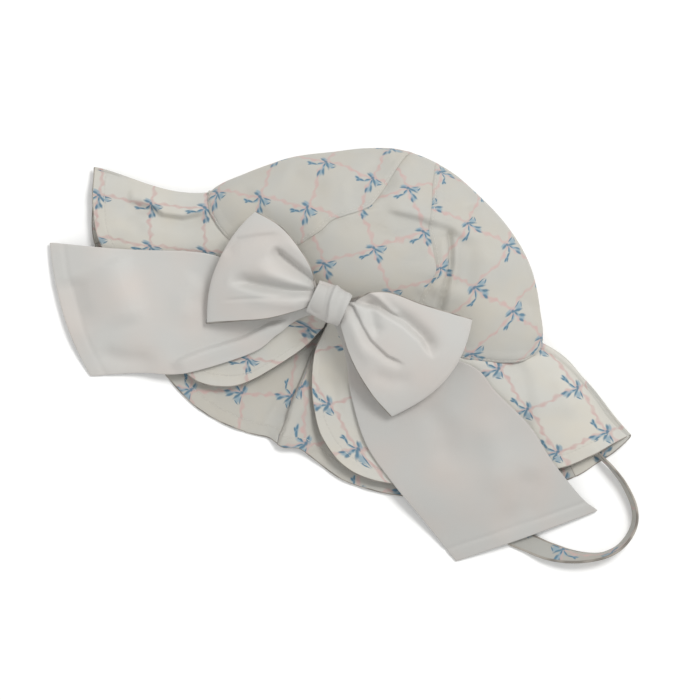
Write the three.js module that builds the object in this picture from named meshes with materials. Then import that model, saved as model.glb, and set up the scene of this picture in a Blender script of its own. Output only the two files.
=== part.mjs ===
// A toddler's soft cotton sun hat with a big bow at the back, lying on its face.
// Millimetres, +Z up. The front of the hat rests on z = 0, the back of it is up.
// The crown's top points to +Y and the head opening to -Y. The origin is on the floor,
// midway between the two side folds where the brim meets the crown.
import * as THREE from 'three';

// ---- driving dimensions ----
const CROWN_HALF_WIDTH = 113.8; // from the middle to a side fold, at the base seam
const CROWN_CENTRE_Y = 20; // the puffed middle of the crown
const CROWN_HEIGHT = 47; // top of the puffed back above the floor
const CROWN_FOLD_Z = 11; // height at which the crown turns over at its outline
const FRONT_FLAT = { above: 0.8, below: 0.97 }; // share of the way out that lies flat
const BASE_SAG_BACK = 37; // how far the base seam bows towards the opening, back and front
const BASE_SAG_FRONT = 45;
const CLOTH = 1.5; // two layers of cotton, sewn together
const RIBBON = 1.2; // the bow's cloth
const GAP = 0.3; // clearance between neighbouring pieces
const BASE_SEAM_GAP = 1.5; // and along the curved seam between crown and brim
const GORE_BASE_WIDTH = 100; // about what a gore measures along the base seam
const GORE_TOP = 0.95; // the gores' tips stop just short of the button
const SPLIT_TURN = -6.9; // where round the base seam the brim is split, in degrees from the back
const SIDE_SEAM_TURN = 112; // where the back flaps are sewn to the front brim
const FOLD_BOW = { right: 4.2, left: -4.3, tight: 12 }; // how far the brim's side folds bow outwards
const FLAP_DROP = 1.5; // how quickly the flaps fall from the seam to the brim below
const PLEAT = { turn: 181.5, rise: 4.5, sharp: 2.5, gentle: 11 }; // the front brim's tuck
const STRAP = { width: 12, thickness: 2, steps: 66 };

// The crown's outline round its centre: degrees from +X, and the radius there.
const CROWN_OUTLINE = [
  { angle: -120, radius: 77 },
  { angle: -90, radius: 70 },
  { angle: -60, radius: 79 },
  { angle: -35, radius: 103 },
  { angle: -18, radius: 116 },
  { angle: -10, radius: 115.2 },
  { angle: 0, radius: 103.2 },
  { angle: 10, radius: 93 },
  { angle: 30, radius: 74.7 },
  { angle: 50, radius: 62.3 },
  { angle: 70, radius: 57.4 },
  { angle: 90, radius: 55.6 },
  { angle: 110, radius: 56.4 },
  { angle: 130, radius: 58.9 },
  { angle: 150, radius: 66.3 },
  { angle: 170, radius: 84.9 },
  { angle: 180, radius: 98.6 },
  { angle: 190, radius: 115.5 },
  { angle: 198, radius: 116 },
  { angle: 215, radius: 103 },
  { angle: 240, radius: 79 },
  { angle: 270, radius: 70 },
  { angle: 300, radius: 77 },
];

// Where all the crown's seams meet, just under its top edge.
const CROWN_BUTTON = { x: -2, y: 64, side: 'front' };

// The crown's seams, from the base seam to the button, as places on its back or front.
const CROWN_SEAMS = {
  backLeft: [
    { x: -68.8, y: -29.5, side: 'back' },
    { x: -46, y: -3, side: 'back' },
    { x: -27, y: 24, side: 'back' },
    { x: -13.5, y: 64, side: 'back' },
  ],
  backRight: [
    { x: 41.5, y: -34.5, side: 'back' },
    { x: 33, y: 0, side: 'back' },
    { x: 15, y: 48, side: 'back' },
    { x: 9, y: 66, side: 'back' },
  ],
  frontRight: [
    { x: 90, y: -27.5, side: 'front' },
    { x: 62, y: 12, side: 'front' },
    { x: 24, y: 48, side: 'front' },
  ],
  frontLeft: [
    { x: -74, y: -34.2, side: 'front' },
    { x: -48, y: 8, side: 'front' },
    { x: -20, y: 46, side: 'front' },
  ],
  frontMiddle: [
    { x: 8, y: -44.9, side: 'front' },
    { x: 5, y: 5, side: 'front' },
    { x: 1, y: 42, side: 'front' },
  ],
};

// Dents in the back of the crown: a line in plan, and how wide and deep it is.
const CROWN_DENTS = [
  { fromX: -33, fromY: 20, toX: -36, toY: -12, width: 9, depth: 2 },
  { fromX: 8, fromY: 44, toX: 40, toY: 36, width: 5, depth: 2.5 },
  { fromX: 50, fromY: 30, toX: 66, toY: -10, width: 9, depth: 2.5 },
];

// The brim's hem: turn is degrees round the base seam from the middle of the back.
const HEM = [
  { turn: -6.9, x: -12.9, y: -46.8, z: 22 },
  { turn: -3, x: -12.2, y: -65.4, z: 16 },
  { turn: 2, x: -3.7, y: -86.5, z: 13 },
  { turn: 9, x: 13, y: -108.8, z: 12 },
  { turn: 18, x: 37.8, y: -120.6, z: 10.5 },
  { turn: 28, x: 67, y: -116.9, z: 10 },
  { turn: 45, x: 113, y: -98, z: 10 },
  { turn: 66, x: 158.1, y: -62.9, z: 11 },
  { turn: 77, x: 171.5, y: -48.5, z: 11.5 },
  { turn: 90, x: 187.9, y: -27.6, z: 6 },
  { turn: 97, x: 184, y: -40, z: 1.5 },
  { turn: 104, x: 177.3, y: -51.1, z: 0 },
  { turn: 113, x: 166.2, y: -67.3, z: 0 },
  { turn: 130, x: 128, y: -100, z: 0 },
  { turn: 148, x: 72.5, y: -122.5, z: 0 },
  { turn: 161, x: 37.8, y: -128.2, z: 0 },
  { turn: 171, x: 14, y: -124, z: 0 },
  { turn: 180, x: -3, y: -120.5, z: 0 },
  { turn: 190, x: -32, y: -126.8, z: 0 },
  { turn: 202, x: -62, y: -126.2, z: 0 },
  { turn: 214, x: -91.1, y: -115.6, z: 0 },
  { turn: 232, x: -131, y: -91, z: 0 },
  { turn: 248, x: -166.5, y: -59.5, z: 0 },
  { turn: 263, x: -180.5, y: -31, z: 1.5 },
  { turn: 270, x: -186.3, y: -15.9, z: 6 },
  { turn: 276.5, x: -177.8, y: -36.5, z: 9.2 },
  { turn: 283, x: -165.3, y: -55.4, z: 11 },
  { turn: 298, x: -128, y: -85, z: 10 },
  { turn: 318, x: -79.4, y: -108.8, z: 9.5 },
  { turn: 328, x: -60.1, y: -108.2, z: 10 },
  { turn: 338, x: -42.2, y: -96.4, z: 12 },
  { turn: 347, x: -21.7, y: -66, z: 16 },
  { turn: 353.1, x: -14.2, y: -46.8, z: 22 },
];

// The bow's loops, from the knot outwards: the two edges in plan and the cloth below them.
const LOOPS = {
  left: {
    bulge: 9,
    stations: [
      { upperX: -23, upperY: -29, upperZ: 50, lowerX: -23, lowerY: -36, lowerZ: 45.6 },
      { upperX: -43, upperY: -13, upperZ: 52, lowerX: -45, lowerY: -54.5, lowerZ: 38 },
      { upperX: -62, upperY: -3.5, upperZ: 53, lowerX: -63, lowerY: -65, lowerZ: 31 },
      { upperX: -81, upperY: -1, upperZ: 50, lowerX: -81.5, lowerY: -75, lowerZ: 24 },
    ],
    creases: [
      { knot: 0.25, far: 0.25, reach: 0.75, depth: 5 },
      { knot: -0.25, far: -0.1, reach: 0.85, depth: 4 },
    ],
  },
  right: {
    bulge: 11,
    stations: [
      { upperX: -10.6, upperY: -29, upperZ: 50, lowerX: -10.6, lowerY: -35.6, lowerZ: 45.8 },
      { upperX: 10, upperY: -13, upperZ: 54, lowerX: 9, lowerY: -57, lowerZ: 39 },
      { upperX: 36, upperY: -10, upperZ: 56, lowerX: 28, lowerY: -70.5, lowerZ: 32 },
      { upperX: 65.6, upperY: -5.4, upperZ: 53, lowerX: 47.3, lowerY: -79.5, lowerZ: 26 },
    ],
    creases: [
      { knot: 0.35, far: 0.5, reach: 0.8, depth: 4.5 },
      { knot: -0.4, far: -0.35, reach: 0.7, depth: 4 },
    ],
  },
};
const LOOP_PUFF = { knot: 5, middle: 9, far: 5 }; // half the height between a loop's two layers

const KNOT = { fromX: -28, toX: -6, y: -32.5, z: 47.8, halfWidth: 11, halfHeight: 8, lean: 33 };

// The bow's tails, from the knot outwards: both edges, and how far the middle arches up.
const TAIL_BULGE = 4.5; // how far the middle of the left tail's cut end stands out
const TAILS = {
  left: [
    { upperX: -17.3, upperY: -29, upperZ: 38, lowerX: -17.3, lowerY: -39, lowerZ: 32.2, arch: 0 },
    { upperX: -31, upperY: -33, upperZ: 36.2, lowerX: -28, lowerY: -46, lowerZ: 28.4, arch: 0.3 },
    { upperX: -52, upperY: -37.5, upperZ: 34, lowerX: -38, lowerY: -60, lowerZ: 23.5, arch: 0.6 },
    { upperX: -94.4, upperY: -35.8, upperZ: 27, lowerX: -47.7, lowerY: -79.1, lowerZ: 18.5, arch: 0.5 },
    { upperX: -140, upperY: -52.6, upperZ: 16.2, lowerX: -80.5, lowerY: -108.6, lowerZ: 12.3, arch: 2 },
    { upperX: -165, upperY: -62, upperZ: 14, lowerX: -107, lowerY: -121, lowerZ: 6.5, arch: 4 },
    { upperX: -192.2, upperY: -71.1, upperZ: 4, lowerX: -134.6, lowerY: -135.8, lowerZ: 1.4, arch: 3 },
  ],
  right: [
    { upperX: -16.7, upperY: -29, upperZ: 38, lowerX: -16.7, lowerY: -39, lowerZ: 32.2, arch: 0 },
    { upperX: -2, upperY: -32, upperZ: 37.4, lowerX: -5, lowerY: -46, lowerZ: 28.8, arch: 0.3 },
    { upperX: 30, upperY: -38, upperZ: 34.5, lowerX: 7.4, lowerY: -59.7, lowerZ: 25, arch: 0.6 },
    { upperX: 77, upperY: -31, upperZ: 31.6, lowerX: 19.4, lowerY: -78.1, lowerZ: 20.5, arch: 1 },
    { upperX: 99, upperY: -39.1, upperZ: 24.6, lowerX: 40.6, lowerY: -101.7, lowerZ: 15.5, arch: 1.5 },
    { upperX: 127.8, upperY: -49.7, upperZ: 18, lowerX: 67, lowerY: -117.5, lowerZ: 12.8, arch: 1.5 },
    { upperX: 149.1, upperY: -63.1, upperZ: 14.5, lowerX: 93, lowerY: -130, lowerZ: 7, arch: 4 },
    { upperX: 175.6, upperY: -76.1, upperZ: 7, lowerX: 110, lowerY: -139, lowerZ: 3.5, arch: 4 },
    { upperX: 189.2, upperY: -79.5, upperZ: 3, lowerX: 122.5, lowerY: -145, lowerZ: 1.4, arch: 5 },
  ],
};

// The chin strap's route. tilt is 0 where it lies flat and 90 where it stands on its edge.
const STRAP_ROUTE = [
  { x: 88, y: -14, z: 3.1, tilt: 0 },
  { x: 106, y: -27, z: 5.1, tilt: 0 },
  { x: 127, y: -36, z: 5.1, tilt: 0 },
  { x: 148, y: -40.5, z: 4.9, tilt: 0 },
  { x: 163, y: -43.5, z: 5.4, tilt: 2 },
  { x: 171, y: -45.8, z: 5.8, tilt: 6 },
  { x: 178, y: -48.3, z: 6.4, tilt: 24 },
  { x: 184, y: -50.4, z: 7.5, tilt: 70 },
  { x: 189.5, y: -52.9, z: 6.9, tilt: 89 },
  { x: 196, y: -56.4, z: 6.6, tilt: 90 },
  { x: 203, y: -61.6, z: 6.6, tilt: 90 },
  { x: 208.7, y: -67.1, z: 6.6, tilt: 90 },
  { x: 212.8, y: -74, z: 6.6, tilt: 90 },
  { x: 214.2, y: -81.5, z: 6.6, tilt: 90 },
  { x: 213, y: -90, z: 6.6, tilt: 90 },
  { x: 209.5, y: -97.5, z: 6.6, tilt: 88 },
  { x: 202, y: -105, z: 6.5, tilt: 82 },
  { x: 188.6, y: -111.6, z: 5.4, tilt: 55 },
  { x: 173, y: -115.2, z: 3.4, tilt: 24 },
  { x: 160, y: -115.8, z: 1.8, tilt: 5 },
  { x: 145.5, y: -116, z: 1.3, tilt: 0 },
  { x: 130, y: -111, z: 2.2, tilt: 0 },
  { x: 112, y: -99, z: 3.4, tilt: 0 },
  { x: 90, y: -82, z: 3.2, tilt: 0 },
  { x: 60, y: -55, z: 3.2, tilt: 0 },
  { x: 30, y: -28, z: 3.2, tilt: 0 },
  { x: 0, y: -10, z: 3.2, tilt: 0 },
  { x: -35, y: 0, z: 3.2, tilt: 0 },
  { x: -66, y: 1, z: 3.2, tilt: 0 },
  { x: -96, y: -8, z: 3.2, tilt: 0 },
];

// ---- small helpers ----
const rad = THREE.MathUtils.degToRad;

// Reads a table's column smoothly at a place between its rows (a Hermite curve whose
// slopes come from the neighbouring rows).
function readTable(rows, at, column, place) {
  let i = 1;
  while (i < rows.length - 1 && rows[i][at] < place) i += 1;
  const a = rows[Math.max(i - 2, 0)];
  const b = rows[i - 1];
  const c = rows[i];
  const d = rows[Math.min(i + 1, rows.length - 1)];
  const step = c[at] - b[at];
  const s = (place - b[at]) / step;
  const slopeB = ((c[column] - a[column]) / (c[at] - a[at])) * step;
  const slopeC = ((d[column] - b[column]) / (d[at] - b[at])) * step;
  const s2 = s * s;
  const s3 = s2 * s;
  const startPart = (2 * s3 - 3 * s2 + 1) * b[column] + (s3 - 2 * s2 + s) * slopeB;
  return startPart + (3 * s2 - 2 * s3) * c[column] + (s3 - s2) * slopeC;
}

// The same for a table whose rows are evenly spaced: share runs from 0 to 1.
function readRows(rows, column, share) {
  const numbered = rows.map((row, i) => ({ row: i, value: row[column] }));
  return readTable(numbered, 'row', 'value', share * (rows.length - 1));
}

// The way out of a surface at (u, v), from small steps along it.
function outward(surface, u, v) {
  const h = 1e-3;
  const du = surface(u + h, v).sub(surface(u - h, v));
  const dv = surface(u, v + h).sub(surface(u, v - h));
  return du.cross(dv).normalize();
}

// Evenly spaced numbers from one to another.
function spread(from, to, steps) {
  return Array.from({ length: steps + 1 }, (_, i) => from + ((to - from) * i) / steps);
}

// A closed wall of cloth: the surface is its outer face, and flip turns that face over.
// us and vs are the places of its columns and rows.
function clothWall(surface, us, vs, thickness, flip = false) {
  const outer = [];
  const inner = [];
  for (const v of vs) {
    for (const u of us) {
      const point = surface(u, v);
      const normal = outward(surface, u, v).multiplyScalar(flip ? thickness : -thickness);
      outer.push(point);
      inner.push(point.clone().add(normal));
    }
  }
  const uSteps = us.length - 1;
  const vSteps = vs.length - 1;
  const row = uSteps + 1;
  const layer = row * (vSteps + 1);
  const faces = [];
  const quad = (a, b, c, d) => faces.push(a, b, c, a, c, d);
  for (let j = 0; j < vSteps; j += 1) {
    for (let i = 0; i < uSteps; i += 1) {
      const a = j * row + i;
      quad(a, a + 1, a + row + 1, a + row);
      quad(layer + a, layer + a + row, layer + a + row + 1, layer + a + 1);
    }
  }
  for (let i = 0; i < uSteps; i += 1) {
    const far = vSteps * row + i;
    quad(i + 1, i, layer + i, layer + i + 1);
    quad(far, far + 1, layer + far + 1, layer + far);
  }
  for (let j = 0; j < vSteps; j += 1) {
    const near = j * row;
    const far = near + uSteps;
    quad(near, near + row, layer + near + row, layer + near);
    quad(far + row, far, layer + far, layer + far + row);
  }
  if (flip) {
    faces.reverse();
  }
  return solid([...outer, ...inner], faces);
}

function solid(points, faces) {
  const geometry = new THREE.BufferGeometry();
  geometry.setFromPoints(points);
  geometry.setIndex(faces);
  geometry.computeVertexNormals();
  return geometry;
}

// ---- the crown's form ----
// A place on the crown is a direction (a unit vector): x and y are the share of the way to
// the outline in plan, and z says how far up the back (+) or the front (-) it is.
function outlineRadius(angle) {
  return readTable(CROWN_OUTLINE, 'angle', 'radius', angle < -90 ? angle + 360 : angle);
}

// The front lies flat almost out to the base seam, and less far out round the crown's top.
function flatShare(angle) {
  const turned = angle < -90 ? angle + 360 : angle;
  const below = Math.min(Math.max(-10 - turned, turned - 190, 0) / 15, 1);
  return FRONT_FLAT.above + (FRONT_FLAT.below - FRONT_FLAT.above) * below;
}

function crownPoint(direction) {
  const share = Math.hypot(direction.x, direction.y);
  const angle = THREE.MathUtils.radToDeg(Math.atan2(direction.y, direction.x));
  const radius = outlineRadius(angle) * share;
  const x = radius * Math.cos(rad(angle));
  const y = CROWN_CENTRE_Y + radius * Math.sin(rad(angle));
  if (direction.z >= 0) {
    const z = CROWN_FOLD_Z + (CROWN_HEIGHT - CROWN_FOLD_Z) * direction.z;
    return new THREE.Vector3(x, y, z - dentDepth(x, y) * direction.z);
  }
  const flat = flatShare(angle);
  const round = THREE.MathUtils.clamp((share - flat) / (1 - flat), 0, 1);
  return new THREE.Vector3(x, y, CROWN_FOLD_Z * (1 - Math.sqrt(1 - round * round)));
}

function dentDepth(x, y) {
  let depth = 0;
  for (const dent of CROWN_DENTS) {
    const alongX = dent.toX - dent.fromX;
    const alongY = dent.toY - dent.fromY;
    const length2 = alongX * alongX + alongY * alongY;
    const share = ((x - dent.fromX) * alongX + (y - dent.fromY) * alongY) / length2;
    const nearest = THREE.MathUtils.clamp(share, 0, 1);
    const away = Math.hypot(x - dent.fromX - nearest * alongX, y - dent.fromY - nearest * alongY);
    depth += dent.depth * Math.exp(-((away / dent.width) ** 2));
  }
  return depth;
}

// The direction that leads to a place given in plan, on the back or on the front.
function directionTo(x, y, side) {
  const fromCentre = y - CROWN_CENTRE_Y;
  const angle = Math.atan2(fromCentre, x);
  const radius = outlineRadius(THREE.MathUtils.radToDeg(angle));
  const share = Math.min(Math.hypot(x, fromCentre) / radius, 1);
  const rise = Math.sqrt(1 - share * share);
  const z = side === 'front' ? -rise : rise;
  return new THREE.Vector3(share * Math.cos(angle), share * Math.sin(angle), z);
}

// Every piece along the base seam has its columns at the same turns, which lie closer
// together at the side folds and at the split.
function seamColumns(fromTurn, toTurn) {
  const turns = Object.values(CROWN_SEAMS).map((rows) => baseTurn(rows[0]));
  for (const off of [-7, -3, 0, 3, 7]) turns.push(90 + off, 270 + off);
  for (const off of [-6, -4, -2, 2, 4, 6, 9, 12]) turns.push(SPLIT_TURN + off);
  for (let turn = 0; turn < 360; turn += 9) turns.push(turn);
  const round = turns.flatMap((turn) => [turn - 360, turn, turn + 360]).sort((a, b) => a - b);
  const kept = [fromTurn];
  for (const turn of round) {
    if (turn > kept[kept.length - 1] + 1 && turn < toTurn - 1) kept.push(turn);
  }
  return [...kept, toTurn];
}

// The base seam, by degrees round it from the middle of the back towards +X.
function baseDirection(turn) {
  const side = Math.cos(rad(turn)) >= 0 ? 'back' : 'front';
  const sag = side === 'back' ? BASE_SAG_BACK : BASE_SAG_FRONT;
  const y = -sag * Math.abs(Math.cos(rad(turn)));
  return directionTo(CROWN_HALF_WIDTH * Math.sin(rad(turn)), y, side);
}

function baseTurn(row) {
  const turn = THREE.MathUtils.radToDeg(Math.asin(row.x / CROWN_HALF_WIDTH));
  return row.side === 'back' ? turn : 180 - turn;
}

function seamDirection(rows, share) {
  const stops = [...rows, CROWN_BUTTON].map((row) => directionTo(row.x, row.y, row.side));
  const x = readRows(stops, 'x', share);
  const y = readRows(stops, 'y', share);
  const z = readRows(stops, 'z', share);
  return new THREE.Vector3(x, y, z).normalize();
}

function between(a, b, share) {
  const angle = a.angleTo(b);
  if (angle < 1e-6) return a.clone();
  const partA = Math.sin((1 - share) * angle) / Math.sin(angle);
  const partB = Math.sin(share * angle) / Math.sin(angle);
  return a.clone().multiplyScalar(partA).addScaledVector(b, partB).normalize();
}

// A gore between two seams. u runs across it, v from the base seam to the button.
function goreSurface(fromSeam, toSeam) {
  const fromTurn = baseTurn(fromSeam[0]);
  let toTurn = baseTurn(toSeam[0]);
  if (toTurn < fromTurn) toTurn += 360;
  return (u, v) => {
    const from = seamDirection(fromSeam, v);
    const to = seamDirection(toSeam, v);
    const across = between(from, to, u);
    const base = baseDirection(fromTurn + (toTurn - fromTurn) * u);
    const straight = between(seamDirection(fromSeam, 0), seamDirection(toSeam, 0), u);
    return crownPoint(across.addScaledVector(base.sub(straight), 1 - v).normalize());
  };
}

function gore(fromSeam, toSeam, vSteps) {
  const fromTurn = baseTurn(CROWN_SEAMS[fromSeam][0]);
  let toTurn = baseTurn(CROWN_SEAMS[toSeam][0]);
  if (toTurn < fromTurn) toTurn += 360;
  const surface = goreSurface(CROWN_SEAMS[fromSeam], CROWN_SEAMS[toSeam]);
  const trimmed = (u, v) => {
    const edge = Math.min((GAP / 2 / GORE_BASE_WIDTH) / Math.max(1 - v, 0.05), 0.3);
    return surface(edge + u * (1 - 2 * edge), v);
  };
  const us = seamColumns(fromTurn, toTurn).map((turn) => (turn - fromTurn) / (toTurn - fromTurn));
  return clothWall(trimmed, us, spread(0, GORE_TOP, vSteps), CLOTH);
}

// ---- the brim ----
// turn is degrees round the base seam, and out runs from the seam (0) to the hem (1).
function brimPoint(turn, out) {
  const base = crownPoint(baseDirection(turn));
  const hem = new THREE.Vector3(
    readTable(HEM, 'turn', 'x', turn),
    readTable(HEM, 'turn', 'y', turn),
    Math.max(readTable(HEM, 'turn', 'z', turn), 0),
  );
  const point = base.clone().lerp(hem, out);
  const onBack = Math.max(Math.cos(rad(turn)), 0);
  const drop = 1 - (1 - Math.min(out, 1)) ** (1 + (FLAP_DROP - 1) * onBack);
  point.z = base.z + (hem.z - base.z) * drop;
  const side = Math.sin(rad(turn));
  const bow = side > 0 ? FOLD_BOW.right : FOLD_BOW.left;
  point.y += bow * Math.abs(side) ** FOLD_BOW.tight * 6.75 * out * (1 - out) ** 2;
  point.z += pleatHeight(turn) * out;
  return point;
}

// The tuck in the front brim: sharp on its left, easing out to its right.
function pleatHeight(turn) {
  const away = turn - PLEAT.turn;
  const reach = away > 0 ? PLEAT.sharp : PLEAT.gentle;
  return PLEAT.rise * Math.exp(-((away / reach) ** 2));
}

// A part of the brim between two turns.
function brimPart(fromTurn, toTurn, vSteps) {
  const trim = (GAP / 2 / CROWN_HALF_WIDTH) * (180 / Math.PI);
  const surface = (turn, v) => {
    const start = BASE_SEAM_GAP / brimPoint(turn, 0).distanceTo(brimPoint(turn, 1));
    return brimPoint(turn, start + (1 - start) * v);
  };
  const turns = seamColumns(fromTurn, toTurn);
  turns[0] += trim;
  turns[turns.length - 1] -= trim;
  return clothWall(surface, turns, spread(0, 1, vSteps), CLOTH, true);
}

// ---- the bow ----
// A loop is one length of ribbon: out from the knot, over, and back below itself.
// u runs across the ribbon, v along it from the knot's upper side to its lower side.
function loopSurface(loop) {
  return (u, v) => {
    const turn = Math.PI * v;
    const out = Math.abs(Math.sin(turn)) ** 0.75;
    const lift = Math.cos(turn);
    const side = 2 * u - 1;
    const read = (column) => readRows(loop.stations, column, Math.min(out, 1));
    const upper = new THREE.Vector3(read('upperX'), read('upperY'), read('upperZ'));
    const lower = new THREE.Vector3(read('lowerX'), read('lowerY'), read('lowerZ'));
    const point = lower.clone().lerp(upper, u);
    const away = new THREE.Vector3(upper.y - lower.y, lower.x - upper.x, 0).normalize();
    const outwards = Math.sign(loop.stations[3].upperX - loop.stations[0].upperX);
    point.addScaledVector(away, outwards * loop.bulge * out ** 3 * (1 - side * side));
    const puff = LOOP_PUFF.knot + (LOOP_PUFF.middle - LOOP_PUFF.knot) * Math.sin(out * 2);
    const narrow = 1 - 0.45 * side * side;
    point.z += puff * narrow * Math.sign(lift) * Math.abs(lift) ** 0.8;
    if (lift > 0) {
      point.z -= creaseDepth(loop.creases, side, out) * lift;
    }
    return point;
  };
}

function creaseDepth(creases, side, out) {
  let depth = 0;
  for (const crease of creases) {
    const centre = crease.knot + (crease.far - crease.knot) * out;
    const fade = Math.max(1 - out / crease.reach, 0) * Math.min(out * 6, 1);
    depth += crease.depth * fade * Math.exp(-(((side - centre) / 0.2) ** 2));
  }
  return depth;
}

function bowLoop(loop, flip) {
  return clothWall(loopSurface(loop), spread(0, 1, 10), spread(0.006, 0.994, 22), RIBBON, flip);
}

// The knot is a band of ribbon round the gathered middle of the bow, open at both sides.
function bowKnot() {
  const surface = (u, v) => {
    const turn = 2 * Math.PI * v;
    const swell = 1 + 0.1 * Math.sin(Math.PI * u);
    const lean = rad(KNOT.lean);
    const across = KNOT.halfWidth * swell * Math.cos(turn);
    const up = KNOT.halfHeight * swell * Math.sin(turn);
    const y = KNOT.y + across * Math.cos(lean) - up * Math.sin(lean);
    const z = KNOT.z + across * Math.sin(lean) + up * Math.cos(lean);
    return new THREE.Vector3(KNOT.fromX + (KNOT.toX - KNOT.fromX) * u, y, z);
  };
  return ring(surface, 6, 20, RIBBON);
}

// A wall that closes on itself along v and is open at both ends of u.
function ring(surface, uSteps, vSteps, thickness) {
  const points = [];
  const row = uSteps + 1;
  for (const depth of [0, thickness]) {
    for (let j = 0; j < vSteps; j += 1) {
      for (let i = 0; i <= uSteps; i += 1) {
        const u = i / uSteps;
        const v = j / vSteps;
        points.push(surface(u, v).addScaledVector(outward(surface, u, v), -depth));
      }
    }
  }
  const layer = row * vSteps;
  const faces = [];
  const quad = (a, b, c, d) => faces.push(a, b, c, a, c, d);
  for (let j = 0; j < vSteps; j += 1) {
    const here = j * row;
    const next = ((j + 1) % vSteps) * row;
    for (let i = 0; i < uSteps; i += 1) {
      quad(here + i, here + i + 1, next + i + 1, next + i);
      quad(layer + here + i, layer + next + i, layer + next + i + 1, layer + here + i + 1);
    }
    const end = uSteps;
    quad(here, next, layer + next, layer + here);
    quad(next + end, here + end, layer + here + end, layer + next + end);
  }
  return solid(points, faces);
}

function bowTail(rows, bulge, flip) {
  const surface = (u, v) => {
    const read = (column) => readRows(rows, column, v);
    const upper = new THREE.Vector3(read('upperX'), read('upperY'), read('upperZ'));
    const lower = new THREE.Vector3(read('lowerX'), read('lowerY'), read('lowerZ'));
    const outwards = new THREE.Vector3(lower.y - upper.y, upper.x - lower.x, 0).normalize();
    const point = lower.lerp(upper, u);
    point.addScaledVector(outwards, bulge * 4 * u * (1 - u) * v ** 5);
    point.z += read('arch') * 4 * u * (1 - u);
    return point;
  };
  return clothWall(surface, spread(0, 1, 8), spread(0, 1, 16), RIBBON, flip);
}

// ---- the chin strap ----
// A flat strip swept along its route, with rounded edges, turning as it goes.
function chinStrap() {
  const places = STRAP_ROUTE.map((stop) => new THREE.Vector3(stop.x, stop.y, stop.z));
  const curve = new THREE.CatmullRomCurve3(places, false, 'centripetal');
  const half = STRAP.width / 2;
  const thick = STRAP.thickness / 2;
  const section = [
    [half, 0.4 * thick], [half - 0.6, thick], [-half + 0.6, thick], [-half, 0.4 * thick],
    [-half, -0.4 * thick], [-half + 0.6, -thick], [half - 0.6, -thick], [half, -0.4 * thick],
  ];
  const sides = section.length;
  const points = [];
  for (let i = 0; i <= STRAP.steps; i += 1) {
    const share = i / STRAP.steps;
    const centre = curve.getPoint(share);
    const along = curve.getTangent(share);
    const level = new THREE.Vector3(along.y, -along.x, 0).normalize();
    const tilt = rad(readRows(STRAP_ROUTE, 'tilt', share));
    const wide = level.applyAxisAngle(along, tilt);
    const high = new THREE.Vector3().crossVectors(wide, along).normalize();
    for (const [w, t] of section) {
      points.push(centre.clone().addScaledVector(wide, w).addScaledVector(high, t));
    }
  }
  const faces = [];
  for (let i = 0; i < STRAP.steps; i += 1) {
    for (let k = 0; k < sides; k += 1) {
      const a = i * sides + k;
      const b = i * sides + ((k + 1) % sides);
      faces.push(a, b + sides, b, a, a + sides, b + sides);
    }
  }
  const last = STRAP.steps * sides;
  for (let k = 1; k < sides - 1; k += 1) {
    faces.push(0, k, k + 1);
    faces.push(last, last + k + 1, last + k);
  }
  return solid(points, faces);
}

// ---- the hat ----
const hat = new THREE.Group();

function add(name, geometry, color, roughness = 0.9) {
  const material = new THREE.MeshStandardMaterial({ color, roughness, metalness: 0 });
  const mesh = new THREE.Mesh(geometry, material);
  mesh.name = name;
  hat.add(mesh);
}

const PRINTED_COTTON = 0xd8d5cb;
const BOW_COTTON = 0xd0cdc8;

add('crown_gore_back', gore('backLeft', 'backRight', 12), PRINTED_COTTON);
add('crown_gore_right', gore('backRight', 'frontRight', 12), PRINTED_COTTON);
add('crown_gore_front_right', gore('frontRight', 'frontMiddle', 12), PRINTED_COTTON);
add('crown_gore_front_left', gore('frontMiddle', 'frontLeft', 12), PRINTED_COTTON);
add('crown_gore_left', gore('frontLeft', 'backLeft', 12), PRINTED_COTTON);
add('brim_back_right', brimPart(SPLIT_TURN, SIDE_SEAM_TURN, 7), PRINTED_COTTON);
add('brim_front', brimPart(SIDE_SEAM_TURN, 360 - SIDE_SEAM_TURN, 5), PRINTED_COTTON);
add('brim_back_left', brimPart(360 - SIDE_SEAM_TURN, 360 + SPLIT_TURN, 7), PRINTED_COTTON);
add('bow_loop_left', bowLoop(LOOPS.left, false), BOW_COTTON);
add('bow_loop_right', bowLoop(LOOPS.right, true), BOW_COTTON);
add('bow_knot', bowKnot(), BOW_COTTON);
add('bow_tail_left', bowTail(TAILS.left, TAIL_BULGE, false), BOW_COTTON);
add('bow_tail_right', bowTail(TAILS.right, 0, true), BOW_COTTON);
add('chin_strap', chinStrap(), PRINTED_COTTON);

export default hat;
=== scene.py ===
"""A toddler's soft cotton sun hat with a big ribbon bow, lying on its face."""

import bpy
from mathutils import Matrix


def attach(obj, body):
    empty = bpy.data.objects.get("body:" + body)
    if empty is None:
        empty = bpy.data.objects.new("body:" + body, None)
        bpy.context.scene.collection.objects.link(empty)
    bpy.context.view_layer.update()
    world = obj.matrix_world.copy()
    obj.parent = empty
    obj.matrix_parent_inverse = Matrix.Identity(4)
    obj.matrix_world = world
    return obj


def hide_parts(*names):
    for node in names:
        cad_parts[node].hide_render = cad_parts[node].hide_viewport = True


bl_info = {
    "name": "Sun Hat",
    "version": (1, 0, 0),
    "blender": (4, 5, 0),
    "location": "View3D > Sidebar > Sun Hat",
    "description": "Dresses a cotton sun hat in printed cloth, with its bow, strap and stitching",
    "category": "Mesh",
}

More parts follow.
